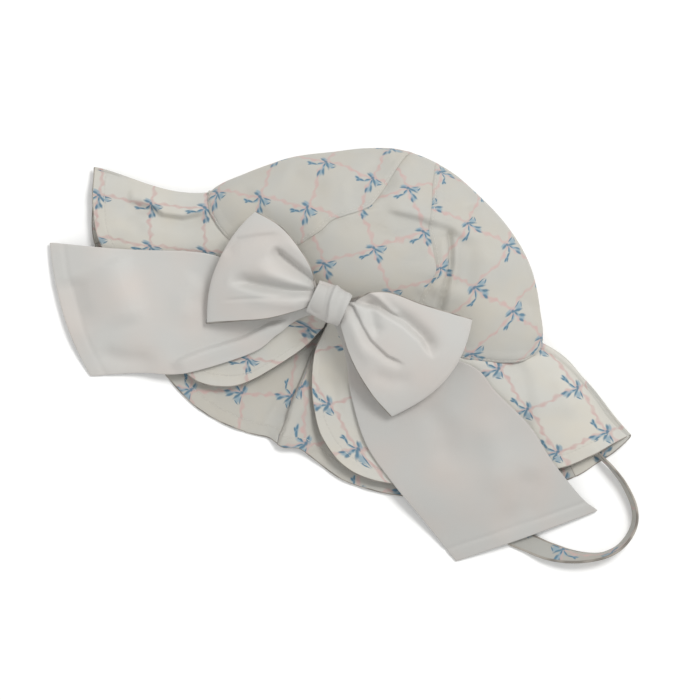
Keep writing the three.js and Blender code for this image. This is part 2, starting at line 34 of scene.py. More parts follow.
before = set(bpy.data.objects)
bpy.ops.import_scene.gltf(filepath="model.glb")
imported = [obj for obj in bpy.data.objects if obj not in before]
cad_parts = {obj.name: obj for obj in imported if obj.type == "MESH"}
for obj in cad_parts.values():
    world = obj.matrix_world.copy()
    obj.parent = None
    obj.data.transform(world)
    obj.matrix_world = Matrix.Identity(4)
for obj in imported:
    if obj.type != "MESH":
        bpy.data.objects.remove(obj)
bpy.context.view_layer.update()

from math import atan2, cos, pi, radians, sin

import bpy
import numpy as np
from bpy.props import FloatProperty, FloatVectorProperty, PointerProperty
from mathutils import Vector

MM = 0.001  # the tables below are in millimetres, Blender's scene in metres
BACK, FRONT = 1, -1  # the side of the crown that is up, and the side that lies down


# ---- tables ----
def table(columns, rows):
    """A table with named columns, as one array for each column."""
    values = np.array(rows, float).T
    return dict(zip(columns.split(), values))


# The crown, which lies folded flat: its back and its front meet in a fold at each side.
CROWN_HALF_WIDTH = 113.8
CROWN_CENTRE_Y = 20.0
CROWN_HEIGHT = 47.0
CROWN_FOLD_Z = 11.0
FLAT_ABOVE, FLAT_BELOW = 0.8, 0.97  # share of the way out that the front lies flat
BELOW_FROM, BELOW_FADE = 10.0, 15.0  # degrees under the side folds where FLAT_BELOW takes over
SAG_BACK, SAG_FRONT = 37.0, 45.0  # the base seam's bow, back and front

# The brim. A turn is in degrees round the base seam, from the middle of the back to +X.
SPLIT_TURN = -6.9
SIDE_SEAM_TURN = 112.0
FOLD_BOW_RIGHT, FOLD_BOW_LEFT = 4.2, -4.3  # how far each side fold curves out of its line
FOLD_BOW_TIGHT = 12  # the higher, the nearer to the fold that curve stays
FOLD_BOW_PEAK = 27 / 4  # brings the peak of out * (1 - out)**2 to 1
FLAP_DROP = 1.5  # above 1, a back flap falls steeply at the seam and lies flatter at its hem
PLEAT_TURN, PLEAT_RISE = 181.5, 4.5  # the front brim's pleat: its place and height
PLEAT_SHARP, PLEAT_GENTLE = 2.5, 11.0  # degrees that its two sides run out over

# The crown's outline round its centre: degrees from +X, and the radius there. Ten of the
# radii from 0 to 180 degrees were measured by a program.
CROWN_OUTLINE = table("angle radius", [
    (-120, 77), (-90, 70), (-60, 79), (-35, 103), (-18, 116), (-10, 115.2), (0, 103.2),
    (10, 93), (30, 74.7), (50, 62.3), (70, 57.4), (90, 55.6), (110, 56.4), (130, 58.9),
    (150, 66.3), (170, 84.9), (180, 98.6), (190, 115.5), (198, 116), (215, 103),
    (240, 79), (270, 70), (300, 77),
])

# The crown's seams from the base seam up to the button where they meet.
CROWN_BUTTON = (-2, 64, FRONT)
CROWN_SEAMS = {
    "back_left": [(-68.8, -29.5, BACK), (-46, -3, BACK), (-27, 24, BACK), (-13.5, 64, BACK)],
    "back_right": [(41.5, -34.5, BACK), (33, 0, BACK), (15, 48, BACK), (9, 66, BACK)],
    "front_right": [(90, -27.5, FRONT), (62, 12, FRONT), (24, 48, FRONT)],
    "front_left": [(-74, -34.2, FRONT), (-48, 8, FRONT), (-20, 46, FRONT)],
    "front_middle": [(8, -44.9, FRONT), (5, 5, FRONT), (1, 42, FRONT)],
}

# The brim's hem: turn is degrees round the base seam from the middle of the back.
HEM = table("turn x y z", [
    (-6.9, -12.9, -46.8, 22), (-3, -12.2, -65.4, 16), (2, -3.7, -86.5, 13),
    (9, 13, -108.8, 12), (18, 37.8, -120.6, 10.5), (28, 67, -116.9, 10),
    (45, 113, -98, 10), (66, 158.1, -62.9, 11), (77, 171.5, -48.5, 11.5),
    (90, 187.9, -27.6, 6), (97, 184, -40, 1.5), (104, 177.3, -51.1, 0),
    (113, 166.2, -67.3, 0), (130, 128, -100, 0), (148, 72.5, -122.5, 0),
    (161, 37.8, -128.2, 0), (171, 14, -124, 0), (180, -3, -120.5, 0),
    (190, -32, -126.8, 0), (202, -62, -126.2, 0), (214, -91.1, -115.6, 0),
    (232, -131, -91, 0), (248, -166.5, -59.5, 0), (263, -180.5, -31, 1.5),
    (270, -186.3, -15.9, 6), (276.5, -177.8, -36.5, 9.2), (283, -165.3, -55.4, 11),
    (298, -128, -85, 10),
    (318, -79.4, -108.8, 9.5), (328, -60.1, -108.2, 10), (338, -42.2, -96.4, 12),
    (347, -21.7, -66, 16), (353.1, -14.2, -46.8, 22),
])

# The bow's loops, from the knot outwards: the two edges of the ribbon.
LOOP_COLUMNS = "upper_x upper_y upper_z lower_x lower_y lower_z"
LOOP_LEFT = table(LOOP_COLUMNS, [
    (-23, -29, 50, -23, -36, 45.6), (-43, -13, 52, -45, -54.5, 38),
    (-62, -3.5, 53, -63, -65, 31), (-81, -1, 50, -81.5, -75, 24),
])
LOOP_RIGHT = table(LOOP_COLUMNS, [
    (-10.6, -29, 50, -10.6, -35.6, 45.8), (10, -13, 54, 9, -57, 39),
    (36, -10, 56, 28, -70.5, 32), (65.6, -5.4, 53, 47.3, -79.5, 26),
])
LOOP_BULGE_LEFT, LOOP_BULGE_RIGHT = 9.0, 11.0  # how far the middle of an outer end stands out
LOOP_PUFF_KNOT, LOOP_PUFF_MIDDLE = 5.0, 9.0  # half the loop's height there and further out
LOOP_BLUNT = 0.75  # below 1, the loop's outer end is blunter
LOOP_SQUARE = 0.8  # below 1, its two faces stay further apart near that end
LOOP_EDGE_THIN = 0.45  # share of the height that is gone at the ribbon's edges

# The bow's tails, from the knot outwards: both edges, and how far the middle arches up.
TAIL_BULGE = 4.5  # how far the middle of the left tail's cut end stands out
TAIL_COLUMNS = LOOP_COLUMNS + " arch"
TAIL_LEFT = table(TAIL_COLUMNS, [
    (-17.3, -29, 38, -17.3, -39, 32.2, 0), (-31, -33, 36.2, -28, -46, 28.4, 0.3),
    (-52, -37.5, 34, -38, -60, 23.5, 0.6), (-94.4, -35.8, 27, -47.7, -79.1, 18.5, 0.5),
    (-140, -52.6, 16.2, -80.5, -108.6, 12.3, 2), (-165, -62, 14, -107, -121, 6.5, 4),
    (-192.2, -71.1, 4, -134.6, -135.8, 1.4, 3),
])
TAIL_RIGHT = table(TAIL_COLUMNS, [
    (-16.7, -29, 38, -16.7, -39, 32.2, 0), (-2, -32, 37.4, -5, -46, 28.8, 0.3),
    (30, -38, 34.5, 7.4, -59.7, 25, 0.6), (77, -31, 31.6, 19.4, -78.1, 20.5, 1),
    (99, -39.1, 24.6, 40.6, -101.7, 15.5, 1.5), (127.8, -49.7, 18, 67, -117.5, 12.8, 1.5),
    (149.1, -63.1, 14.5, 93, -130, 7, 4), (175.6, -76.1, 7, 110, -139, 3.5, 4),
    (189.2, -79.5, 3, 122.5, -145, 1.4, 5),
])

# The bow's knot: a band round the roots of the loops, leaning back on the crown.
KNOT_FROM_X, KNOT_TO_X = -28.0, -6.0
KNOT_Y, KNOT_Z = -32.5, 47.8
KNOT_HALF_WIDTH, KNOT_HALF_HEIGHT = 11.0, 8.0
KNOT_LEAN = 33.0  # degrees
KNOT_SWELL = 0.1  # how much wider the band is halfway along than at its edges

# The chin strap's route. tilt is 0 where it lies flat and 90 where it stands on its edge.
STRAP_WIDTH, STRAP_THICKNESS = 12.0, 2.0
STRAP_MOUTH = (173.0, -46.5)  # where it comes out between the brim's layers
STRAP_PINCH, STRAP_PINCH_REACH = 0.5, 12.0  # share of its width lost there, and over how far
STRAP_ROUTE = table("x y z tilt", [
    (88, -14, 3.1, 0), (106, -27, 5.1, 0), (127, -36, 5.1, 0), (148, -40.5, 4.9, 0),
    (163, -43.5, 5.4, 24), (171, -45.8, 5.8, 62), (178, -48.3, 6.4, 78), (184, -50.4, 7.2, 82),
    (189.5, -52.9, 6.9, 83), (196, -56.4, 6.6, 83), (203, -61.6, 6.6, 82),
    (208.7, -67.1, 6.6, 82), (212.8, -74, 6.6, 82), (214.2, -81.5, 6.6, 82),
    (213, -90, 6.6, 82), (209.5, -97.5, 6.6, 81), (202, -105, 6.5, 76),
    (188.6, -111.6, 5.4, 55), (173, -115.2, 3.4, 24), (160, -115.8, 1.8, 5),
    (145.5, -116, 1.3, 0), (130, -111, 2.2, 0), (112, -99, 3.4, 0), (90, -82, 3.2, 0),
    (60, -55, 3.2, 0), (30, -28, 3.2, 0), (0, -10, 3.2, 0), (-35, 0, 3.2, 0), (-66, 1, 3.2, 0),
    (-96, -8, 3.2, 0),
])

# How the print lies on each panel: where one of its little bows is, which way that bow's
# ends hang, in degrees from +X, and how much cloth the panel's small folds take up: its
# stretch across the bow, along it, and its lean. A least-squares program worked out these
# rows, all but the two hidden front panels', which were given.
PRINT_PLACES = {
    "crown_gore_back": (-30.3, -11.5, -89, 1.06, 1.09, -0.11),
    "crown_gore_right": (59.7, 13.6, -48, 0.98, 1.17, -0.22),
    "crown_gore_left": (-83.3, 9.9, -127, 1.02, 1.05, 0.06),
    "crown_gore_front_right": (40.0, 5.0, -90, 1, 1, 0),
    "crown_gore_front_left": (-40.0, 5.0, -90, 1, 1, 0),
    "brim_back_left": (-176.6, -31.0, -105, 1.01, 1.15, -0.3),
    "brim_back_right": (174.0, -31.5, -174, 1.12, 0.87, 0.02),
    "brim_front": (-14.1, -94.5, 160, 1.01, 1.01, -0.03),
}

# Where a flap's print has slipped: the place in plan, and the slip across and along the
# cloth. Both rows were worked out by a program too.
PRINT_SLIPS = {
    "brim_back_left": (-49.4, -85.1, 19.1, -4.0),
    "brim_back_right": (8.2, -88.8, 6.0, 9.4),
}
SLIP_NEAR, SLIP_FAR = 30.0, 62.0  # mm from that place where the slip is whole, and gone

# The strokes of one printed bow: centre, half length, half width, slant in degrees.
BOW_WASHES = table("x y long wide slant", [
    (-2.9, 0.7, 2.2, 0.9, 24), (4.7, 1.5, 2.5, 1.7, 12), (0.5, -3.4, 2.2, 0.8, 86),
    (-3.2, -8.8, 2.5, 1.1, 44), (3.7, -2.9, 2.6, 0.9, -42), (6.6, -5.9, 2.3, 1.3, -38),
])
BOW_LINES = table("x y long wide slant", [
    (-2.5, -0.6, 2.3, 0.85, 24), (0.1, 0.1, 1.3, 1.1, 0), (3.1, -0.3, 3.8, 0.8, -6),
    (4.1, 3.2, 2.5, 0.4, 32), (6.9, 2.3, 1.8, 0.4, 84), (0.0, -3.6, 2.3, 0.5, 78),
    (-1.6, -7.1, 2.1, 0.7, 42), (-4.1, -9.3, 1.5, 0.6, 42), (-2.7, -9.7, 1.4, 0.6, 76),
    (2.4, -1.8, 1.6, 0.45, -45), (6.9, -4.3, 2.4, 0.8, -28), (6.5, -7.5, 2.0, 0.8, -46),
])


# ---- reading the tables ----
def read_table(rows, key, column, place):
    """Reads a column smoothly between its rows, along a Hermite curve."""
    keys, values = rows[key], rows[column]
    place = np.asarray(place, float)
    after = np.clip(np.searchsorted(keys, place), 1, len(keys) - 1)
    before = after - 1
    earlier, later = np.maximum(after - 2, 0), np.minimum(after + 1, len(keys) - 1)
    step = keys[after] - keys[before]
    s = (place - keys[before]) / step
    slope_before = (values[after] - values[earlier]) / (keys[after] - keys[earlier]) * step
    slope_after = (values[later] - values[before]) / (keys[later] - keys[before]) * step
    start = (2 * s**3 - 3 * s**2 + 1) * values[before] + (s**3 - 2 * s**2 + s) * slope_before
    return start + (3 * s**2 - 2 * s**3) * values[after] + (s**3 - s**2) * slope_after


def read_rows(rows, column, share):
    """The same for evenly spaced rows: share runs from 0 to 1."""
    count = len(rows[column])
    numbered = {"row": np.arange(count), column: rows[column]}
    return read_table(numbered, "row", column, np.asarray(share) * (count - 1))


def smooth_step(low, high, value):
    """Rises smoothly from 0 at low to 1 at high, or falls where high is the lower."""
    share = np.clip((value - low) / (high - low), 0, 1)
    return share * share * (3 - 2 * share)


def hill(away, width):
    """1 where away is 0, falling smoothly to about a third at the width to each side."""
    return np.exp(-((away / width) ** 2))


def unit(vectors):
    """The same ways, each with a length of 1."""
    length = np.linalg.norm(vectors, axis=-1, keepdims=True)
    return vectors / np.maximum(length, 1e-9)


def stack(*parts):
    """Joins columns of numbers into points."""
    return np.stack(np.broadcast_arrays(*parts), axis=-1)


# ---- the crown's form ----
def wrapped(angle):
    """An angle in the outline's own range, from -90 to 270 degrees."""
    return np.where(angle < -90, angle + 360, angle)


def outline_radius(angle):
    """How far the crown's outline is from its centre."""
    return read_table(CROWN_OUTLINE, "angle", "radius", wrapped(angle))


def crown_point(direction):
    """A place on the crown from its direction: plan from x and y, height from z."""
    share = np.hypot(direction[..., 0], direction[..., 1])
    angle = np.degrees(np.arctan2(direction[..., 1], direction[..., 0]))
    radius = outline_radius(angle) * share
    x = radius * np.cos(np.radians(angle))
    y = CROWN_CENTRE_Y + radius * np.sin(np.radians(angle))
    back = CROWN_FOLD_Z + (CROWN_HEIGHT - CROWN_FOLD_Z) * np.maximum(direction[..., 2], 0)
    turned = wrapped(angle)
    under = np.maximum(-BELOW_FROM - turned, turned - (180 + BELOW_FROM))
    below = np.clip(under / BELOW_FADE, 0, 1)
    flat = FLAT_ABOVE + (FLAT_BELOW - FLAT_ABOVE) * below
    steep = np.clip((share - flat) / (1 - flat), 0, 1)
    front = CROWN_FOLD_Z * (1 - np.sqrt(1 - steep * steep))
    return stack(x, y, np.where(direction[..., 2] >= 0, back, front))


def direction_to(x, y, side):
    """The direction of a place given in plan, on the crown's back or front."""
    from_centre = y - CROWN_CENTRE_Y
    angle = np.arctan2(from_centre, x)
    share = np.minimum(np.hypot(x, from_centre) / outline_radius(np.degrees(angle)), 1)
    rise = np.sqrt(1 - share * share) * side
    return stack(share * np.cos(angle), share * np.sin(angle), rise)


def base_direction(turn):
    """The base seam, by degrees round it from the middle of the back towards +X."""
    along = np.cos(np.radians(turn))
    side = np.where(along >= 0, BACK, FRONT)
    sag = np.where(along >= 0, SAG_BACK, SAG_FRONT)
    x = CROWN_HALF_WIDTH * np.sin(np.radians(turn))
    return direction_to(x, -sag * np.abs(along), side)


def base_turn(row):
    """The turn at which a seam starts on the base seam, from the seam's first row."""
    turn = np.degrees(np.arcsin(row[0] / CROWN_HALF_WIDTH))
    return turn if row[2] == BACK else 180 - turn


def seam_direction(seam, share):
    """A place along one of the crown's seams, from the base seam to the button."""
    stops = np.array([direction_to(*row) for row in CROWN_SEAMS[seam] + [CROWN_BUTTON]])
    rows = {"x": stops[:, 0], "y": stops[:, 1], "z": stops[:, 2]}
    return unit(stack(*(read_rows(rows, axis, share) for axis in "xyz")))


def between(a, b, share):
    """Part of the way from one direction to another, over the crown."""
    angle = np.arccos(np.clip((a * b).sum(-1), -1, 1))
    safe = np.maximum(angle, 1e-6)
    part_a = np.sin((1 - share) * safe) / np.sin(safe)
    part_b = np.sin(share * safe) / np.sin(safe)
    return unit(a * part_a[..., None] + b * part_b[..., None])


def gore_points(from_seam, to_seam, u, v):
    """A panel of the crown: u runs across it, v from the base seam to the button."""
    from_turn, to_turn = base_turn(CROWN_SEAMS[from_seam][0]), base_turn(CROWN_SEAMS[to_seam][0])
    if to_turn < from_turn:
        to_turn += 360
    across = between(seam_direction(from_seam, v), seam_direction(to_seam, v), u)
    base = base_direction(from_turn + (to_turn - from_turn) * u)
    zero = np.zeros_like(v)
    straight = between(seam_direction(from_seam, zero), seam_direction(to_seam, zero), u)
    return crown_point(unit(across + (base - straight) * (1 - v)[..., None]))


# ---- the brim's form ----
def pleat_height(turn):
    """How high the front brim's pleat stands up at its hem."""
    away = turn - PLEAT_TURN
    reach = np.where(away > 0, PLEAT_SHARP, PLEAT_GENTLE)
    return PLEAT_RISE * hill(away, reach)


def brim_points(turn, out):
    """turn is degrees round the base seam, out runs from the seam (0) to the hem (1)."""
    base = crown_point(base_direction(turn))
    hem_x, hem_y = (read_table(HEM, "turn", axis, turn) for axis in "xy")
    hem_z = np.maximum(read_table(HEM, "turn", "z", turn), 0)
    on_back = np.maximum(np.cos(np.radians(turn)), 0)
    drop = 1 - (1 - np.minimum(out, 1)) ** (1 + (FLAP_DROP - 1) * on_back)
    side = np.sin(np.radians(turn))
    bow = np.where(side > 0, FOLD_BOW_RIGHT, FOLD_BOW_LEFT) * np.abs(side) ** FOLD_BOW_TIGHT
    x = base[..., 0] + (hem_x - base[..., 0]) * out
    y = base[..., 1] + (hem_y - base[..., 1]) * out + bow * FOLD_BOW_PEAK * out * (1 - out) ** 2
    z = base[..., 2] + (hem_z - base[..., 2]) * drop + pleat_height(turn) * out
    return stack(x, y, z)


# ---- the bow's form ----
def loop_points(rows, bulge, outwards, u, v):
    """A loop of ribbon: u across it, v along it from the knot's upper side to its lower."""
    turn = np.pi * v
    out = np.minimum(np.abs(np.sin(turn)) ** LOOP_BLUNT, 1)
    lift = np.cos(turn)
    side = 2 * u - 1
    upper = stack(*(read_rows(rows, "upper_" + axis, out) for axis in "xyz"))
    lower = stack(*(read_rows(rows, "lower_" + axis, out) for axis in "xyz"))
    point = lower + (upper - lower) * u[..., None]
    zero = np.zeros_like(u)
    away = unit(stack(upper[..., 1] - lower[..., 1], lower[..., 0] - upper[..., 0], zero))
    point = point + away * (outwards * bulge * out**3 * (1 - side * side))[..., None]
    puff = LOOP_PUFF_KNOT + (LOOP_PUFF_MIDDLE - LOOP_PUFF_KNOT) * np.sin(out * 2)
    narrow = 1 - LOOP_EDGE_THIN * side * side
    point[..., 2] += puff * narrow * np.sign(lift) * np.abs(lift) ** LOOP_SQUARE
    return point


def tail_points(rows, bulge, u, v):
    """A tail of ribbon: u across it from its lower edge, v from the knot to its end."""
    upper = stack(*(read_rows(rows, "upper_" + axis, v) for axis in "xyz"))
    lower = stack(*(read_rows(rows, "lower_" + axis, v) for axis in "xyz"))
    zero = np.zeros_like(u)
    outwards = unit(stack(lower[..., 1] - upper[..., 1], upper[..., 0] - lower[..., 0], zero))
    point = lower + (upper - lower) * u[..., None]
    point = point + outwards * (bulge * 4 * u * (1 - u) * v**5)[..., None]
    point[..., 2] += read_rows(rows, "arch", v) * 4 * u * (1 - u)
    return point


def knot_points(u, v):
    """The band round the middle of the bow: u along X, v round it."""
    turn = 2 * np.pi * v
    swell = 1 + KNOT_SWELL * np.sin(np.pi * u)
    lean = radians(KNOT_LEAN)
    across = KNOT_HALF_WIDTH * swell * np.cos(turn)
    up = KNOT_HALF_HEIGHT * swell * np.sin(turn)
    y = KNOT_Y + across * cos(lean) - up * sin(lean)
    z = KNOT_Z + across * sin(lean) + up * cos(lean)
    return stack(KNOT_FROM_X + (KNOT_TO_X - KNOT_FROM_X) * u, y, z)


# ---- wrinkles ----
def ripple(x, y, size, seed, waves=9):
    """A smooth random field between about -1 and 1, with features of about that size."""
    draw = np.random.default_rng(seed)
    total = np.zeros(np.shape(x))
    for _ in range(waves):
        angle, phase = draw.uniform(0, 2 * pi, 2)
        length = size * draw.uniform(1.4, 3.2)
        total += np.sin(2 * pi * (x * cos(angle) + y * sin(angle)) / length + phase)
    return total / waves**0.5


def uneven(x, y, rows):
    """Cloth that is nowhere quite flat, from rows of a height, a size and a seed."""
    return sum(height * ripple(x, y, size, seed) for height, size, seed in rows)


def distance_to_line(x, y, line):
    """How far each place is from a line in plan, above 0 on the left of its way, and
    where along the line it is, in spans."""
    nearest = np.full(np.shape(x), 1e9)
    signed = np.zeros(np.shape(x))
    along = np.zeros(np.shape(x))
    for span in range(len(line) - 1):
        from_x, from_y = line[span]
        run_x, run_y = line[span + 1][0] - from_x, line[span + 1][1] - from_y
        x_in, y_in = x - from_x, y - from_y
        share = (x_in * run_x + y_in * run_y) / (run_x * run_x + run_y * run_y)
        share = np.clip(share, 0, 1)
        away_x, away_y = x_in - share * run_x, y_in - share * run_y
        away = np.hypot(away_x, away_y)
        closer = away < nearest
        nearest = np.where(closer, away, nearest)
        signed = np.where(closer, away * np.sign(run_x * away_y - run_y * away_x), signed)
        along = np.where(closer, span + share, along)
    return signed, along


def crease_height(x, y, creases):
    """Folds laid down in plan: each is a line of places, its width on the left and on
    the right of its way, and its height, which is below 0 for a valley."""
    total = np.zeros(np.shape(x))
    for line, left, right, height in creases:
        away, along = distance_to_line(x, y, line)
        width = np.where(away > 0, left, right)
        ends = smooth_step(0, 0.5, along) * smooth_step(0, 0.7, len(line) - 1 - along)
        total += height * hill(away, width) * ends
    return total


def raised(points, normals, relief):
    """Cloth whose places are moved out the way they face, by the relief."""
    return points + normals * relief[..., None]


# ---- cloth as a closed wall ----
def grid_normals(points):
    """The way that each place of a grid of cloth faces."""
    across = np.gradient(points, axis=1)
    along = np.gradient(points, axis=0)
    return unit(np.cross(across, along))


def edge_distances(points):
    """How far each place of a grid is from its four edges, measured over the cloth."""
    across = np.linalg.norm(np.diff(points, axis=1), axis=-1)
    along = np.linalg.norm(np.diff(points, axis=0), axis=-1)
    left = np.pad(np.cumsum(across, axis=1), ((0, 0), (1, 0)))
    start = np.pad(np.cumsum(along, axis=0), ((1, 0), (0, 0)))
    return left, left[:, -1:] - left, start, start[-1:] - start


def flatten_cloth(points, rounds=60):
    """Lays a coarse grid of cloth out flat with as little stretch as it can: each cell
    turns to suit its neighbours, then all the places move to suit the cells."""
    rows, columns = points.shape[:2]
    number = np.arange(rows * columns).reshape(rows, columns)
    cells = np.stack([number[:-1, :-1], number[:-1, 1:], number[1:, 1:], number[1:, :-1]], -1)
    cells = cells.reshape(-1, 4)
    flat_points = points.reshape(-1, 3)
    corners = flat_points[cells]
    middle = corners.mean(1, keepdims=True)
    way = unit(corners[:, 1] + corners[:, 2] - corners[:, 0] - corners[:, 3])
    normal = unit(np.cross(corners[:, 2] - corners[:, 0], corners[:, 3] - corners[:, 1]))
    other = np.cross(normal, way)
    local = stack(((corners - middle) * way[:, None]).sum(-1),
                  ((corners - middle) * other[:, None]).sum(-1))
    sides = [(0, 1), (1, 2), (2, 3), (3, 0), (0, 2), (1, 3)]
    count = rows * columns
    springs = np.zeros((count, count))
    for one, two in sides:
        np.add.at(springs, (cells[:, one], cells[:, one]), 1)
        np.add.at(springs, (cells[:, two], cells[:, two]), 1)
        np.add.at(springs, (cells[:, one], cells[:, two]), -1)
        np.add.at(springs, (cells[:, two], cells[:, one]), -1)
    springs += 1e-6 * np.eye(count)  # holds the whole sheet in place
    inverse = np.linalg.inv(springs)
    left, right, start, _ = edge_distances(points)
    laid = stack((left - right) / 2, start * 1.0).reshape(-1, 2)
    for _ in range(rounds):
        target = np.zeros((count, 2))
        edges = [(laid[cells[:, one]] - laid[cells[:, two]], local[:, one] - local[:, two])
                 for one, two in sides]
        dot = sum((now * own).sum(-1) for now, own in edges)
        cross = sum(own[:, 0] * now[:, 1] - own[:, 1] * now[:, 0] for now, own in edges)
        angle = np.arctan2(cross, dot)
        turn_x, turn_y = np.cos(angle), np.sin(angle)
        for (one, two), (_, own) in zip(sides, edges):
            pull = stack(turn_x * own[:, 0] - turn_y * own[:, 1],
                         turn_y * own[:, 0] + turn_x * own[:, 1])
            np.add.at(target, cells[:, one], pull)
            np.add.at(target, cells[:, two], -pull)
        laid = inverse @ target
    return laid.reshape(rows, columns, 2)


def finer(values, rows, columns):
    """A coarse grid of values read between its places, for a finer grid."""
    old_rows, old_columns = values.shape[:2]
    row = np.linspace(0, old_rows - 1, rows)
    column = np.linspace(0, old_columns - 1, columns)
    above = np.minimum(row.astype(int), old_rows - 2)
    left = np.minimum(column.astype(int), old_columns - 2)
    down, over = (row - above)[:, None, None], (column - left)[None, :, None]
    upper = values[above][:, left] * (1 - over) + values[above][:, left + 1] * over
    lower = values[above + 1][:, left] * (1 - over) + values[above + 1][:, left + 1] * over
    return upper * (1 - down) + lower * down


FLAT_ROWS, FLAT_COLUMNS = 22, 30  # the coarse grid on which a panel is laid flat
FACING = 0.6  # how squarely cloth faces up or down where it counts for the print's turn


def print_places(points, normals, place):
    """Where each point of a panel lies on the printed cloth, in millimetres."""
    rows, columns = points.shape[:2]
    coarse = points[np.linspace(0, rows - 1, FLAT_ROWS).astype(int)]
    coarse = coarse[:, np.linspace(0, columns - 1, FLAT_COLUMNS).astype(int)]
    laid = finer(flatten_cloth(coarse), rows, columns).reshape(-1, 2)
    side = 1 if normals[..., 2].max() > FACING else -1
    laid[:, 0] *= side
    plan = points[..., :2].reshape(-1, 2)
    facing = normals[..., 2].reshape(-1) * side
    weight = np.where(facing > FACING, facing, 0)[:, None]
    laid_middle = (laid * weight).sum(0) / weight.sum()
    plan_middle = (plan * weight).sum(0) / weight.sum()
    laid, plan = laid - laid_middle, plan - plan_middle
    across = (weight[:, 0] * (laid[:, 0] * plan[:, 0] + laid[:, 1] * plan[:, 1])).sum()
    turned = (weight[:, 0] * (laid[:, 0] * plan[:, 1] - laid[:, 1] * plan[:, 0])).sum()
    x, y, hang, wide, long, lean = place
    turn = atan2(turned, across) - radians(hang + 90)
    away = np.hypot(plan[:, 0] + plan_middle[0] - x, plan[:, 1] + plan_middle[1] - y)
    bow = np.argmin(away + np.where(facing > 0, 0, 1e6))  # never on the side turned away
    laid = laid - laid[bow]
    rotation = np.array([[cos(turn), sin(turn)], [-sin(turn), cos(turn)]])
    stretch = np.array([[wide, 0], [lean, long]])
    return (laid @ rotation @ stretch).reshape(rows, columns, 2)


def build_mesh(name, points, faces, uv, materials, edge_faces=0):
    """A smooth piece, whose last edge_faces faces have the second of the materials."""
    mesh = bpy.data.meshes.new(name)
    mesh.from_pydata((points * MM).tolist(), [], faces)
    layer = mesh.uv_layers.new(name="cloth")
    corner = np.empty(len(mesh.loops), int)
    mesh.loops.foreach_get("vertex_index", corner)
    layer.data.foreach_set("uv", uv[corner].astype(np.float32).ravel())
    mesh.polygons.foreach_set("use_smooth", np.ones(len(mesh.polygons), bool))
    for material in materials:
        mesh.materials.append(material)
    slots = np.arange(len(mesh.polygons)) >= len(mesh.polygons) - edge_faces
    mesh.polygons.foreach_set("material_index", slots.astype(np.int32))
    mesh.update()
    piece = bpy.data.objects.new(name, mesh)
    bpy.context.scene.collection.objects.link(piece)
    return piece


def cloth_wall(name, outer, uv, thickness, materials, rim_steps=4, steady=0):
    """A closed wall of cloth with rounded edges. Its outer face looks the way that the
    grid's normals do. The second of the materials is for the edges. steady is over how
    many rows the wall's way in is evened out, for a wall that is folded sharply."""
    rows, columns = outer.shape[:2]
    normal = grid_normals(outer)
    if steady:
        longer = np.pad(normal, ((steady, steady), (0, 0), (0, 0)), "edge")
        normal = unit(sum(longer[row:row + rows] for row in range(2 * steady + 1)))
    thickness = np.broadcast_to(thickness, (rows, columns))[..., None]
    inner = outer - normal * thickness
    number = np.arange(rows * columns).reshape(rows, columns)
    loop = np.concatenate([number[0, :-1], number[:-1, -1], number[-1, :0:-1], number[:0:-1, 0]])
    row, column = np.unravel_index(loop, (rows, columns))
    inside = outer[np.clip(row, 1, rows - 2), np.clip(column, 1, columns - 2)]
    edge, edge_normal = outer[row, column], normal[row, column]
    away = edge - inside
    away = unit(away - edge_normal * (away * edge_normal).sum(-1, keepdims=True))
    layers = [outer.reshape(-1, 3), inner.reshape(-1, 3)]
    half = thickness[row, column] / 2
    for step in range(1, rim_steps):
        angle = pi * step / rim_steps
        layers.append(edge + half * (edge_normal * (cos(angle) - 1) + away * sin(angle)))
    count, around = rows * columns, len(loop)
    first = number[:-1, :-1].ravel()
    quads = [np.stack([first, first + 1, first + columns + 1, first + columns], -1)]
    quads.append(quads[0][:, ::-1] + count)
    following = np.roll(np.arange(around), -1)
    rings = [loop]
    rings += [2 * count + around * step + np.arange(around) for step in range(rim_steps - 1)]
    rings.append(loop + count)
    for upper, lower in zip(rings[:-1], rings[1:]):
        quads.append(np.stack([upper, lower, lower[following], upper[following]], -1))
    flat_uv = uv.reshape(-1, 2)
    all_uv = np.concatenate([flat_uv, flat_uv] + [flat_uv[loop]] * (rim_steps - 1))
    places = np.concatenate(layers)
    places[:, 2] = np.maximum(places[:, 2], 0)
    return build_mesh(name, places, np.concatenate(quads).tolist(), all_uv, materials,
                      around * rim_steps)


def dress(piece, node):
    """Puts a piece in the place of the part's own solid."""
    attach(piece, "root")
    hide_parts(node)
    return piece


# ---- materials ----
def linear(code):
    """A colour from its sRGB hex code, in linear light."""
    parts = [int(code[i:i + 2], 16) / 255 for i in (1, 3, 5)]
    return tuple(p / 12.92 if p <= 0.04045 else ((p + 0.055) / 1.055) ** 2.4 for p in parts)


def add(tree, kind, inputs=(), **settings):
    """Adds a node with its settings, and fills or links its inputs."""
    made = tree.nodes.new(kind)
    for setting, value in settings.items():
        setattr(made, setting, value)
    for socket, value in dict(inputs).items():
        if isinstance(value, bpy.types.Node):
            value = value.outputs[0]
        if isinstance(value, bpy.types.NodeSocket):
            tree.links.new(value, made.inputs[socket])
        else:
            made.inputs[socket].default_value = value
    return made


def new_material(name):
    """An empty material and its node tree."""
    material = bpy.data.materials.new(name)
    material.use_nodes = True
    material.node_tree.nodes.clear()
    return material, material.node_tree


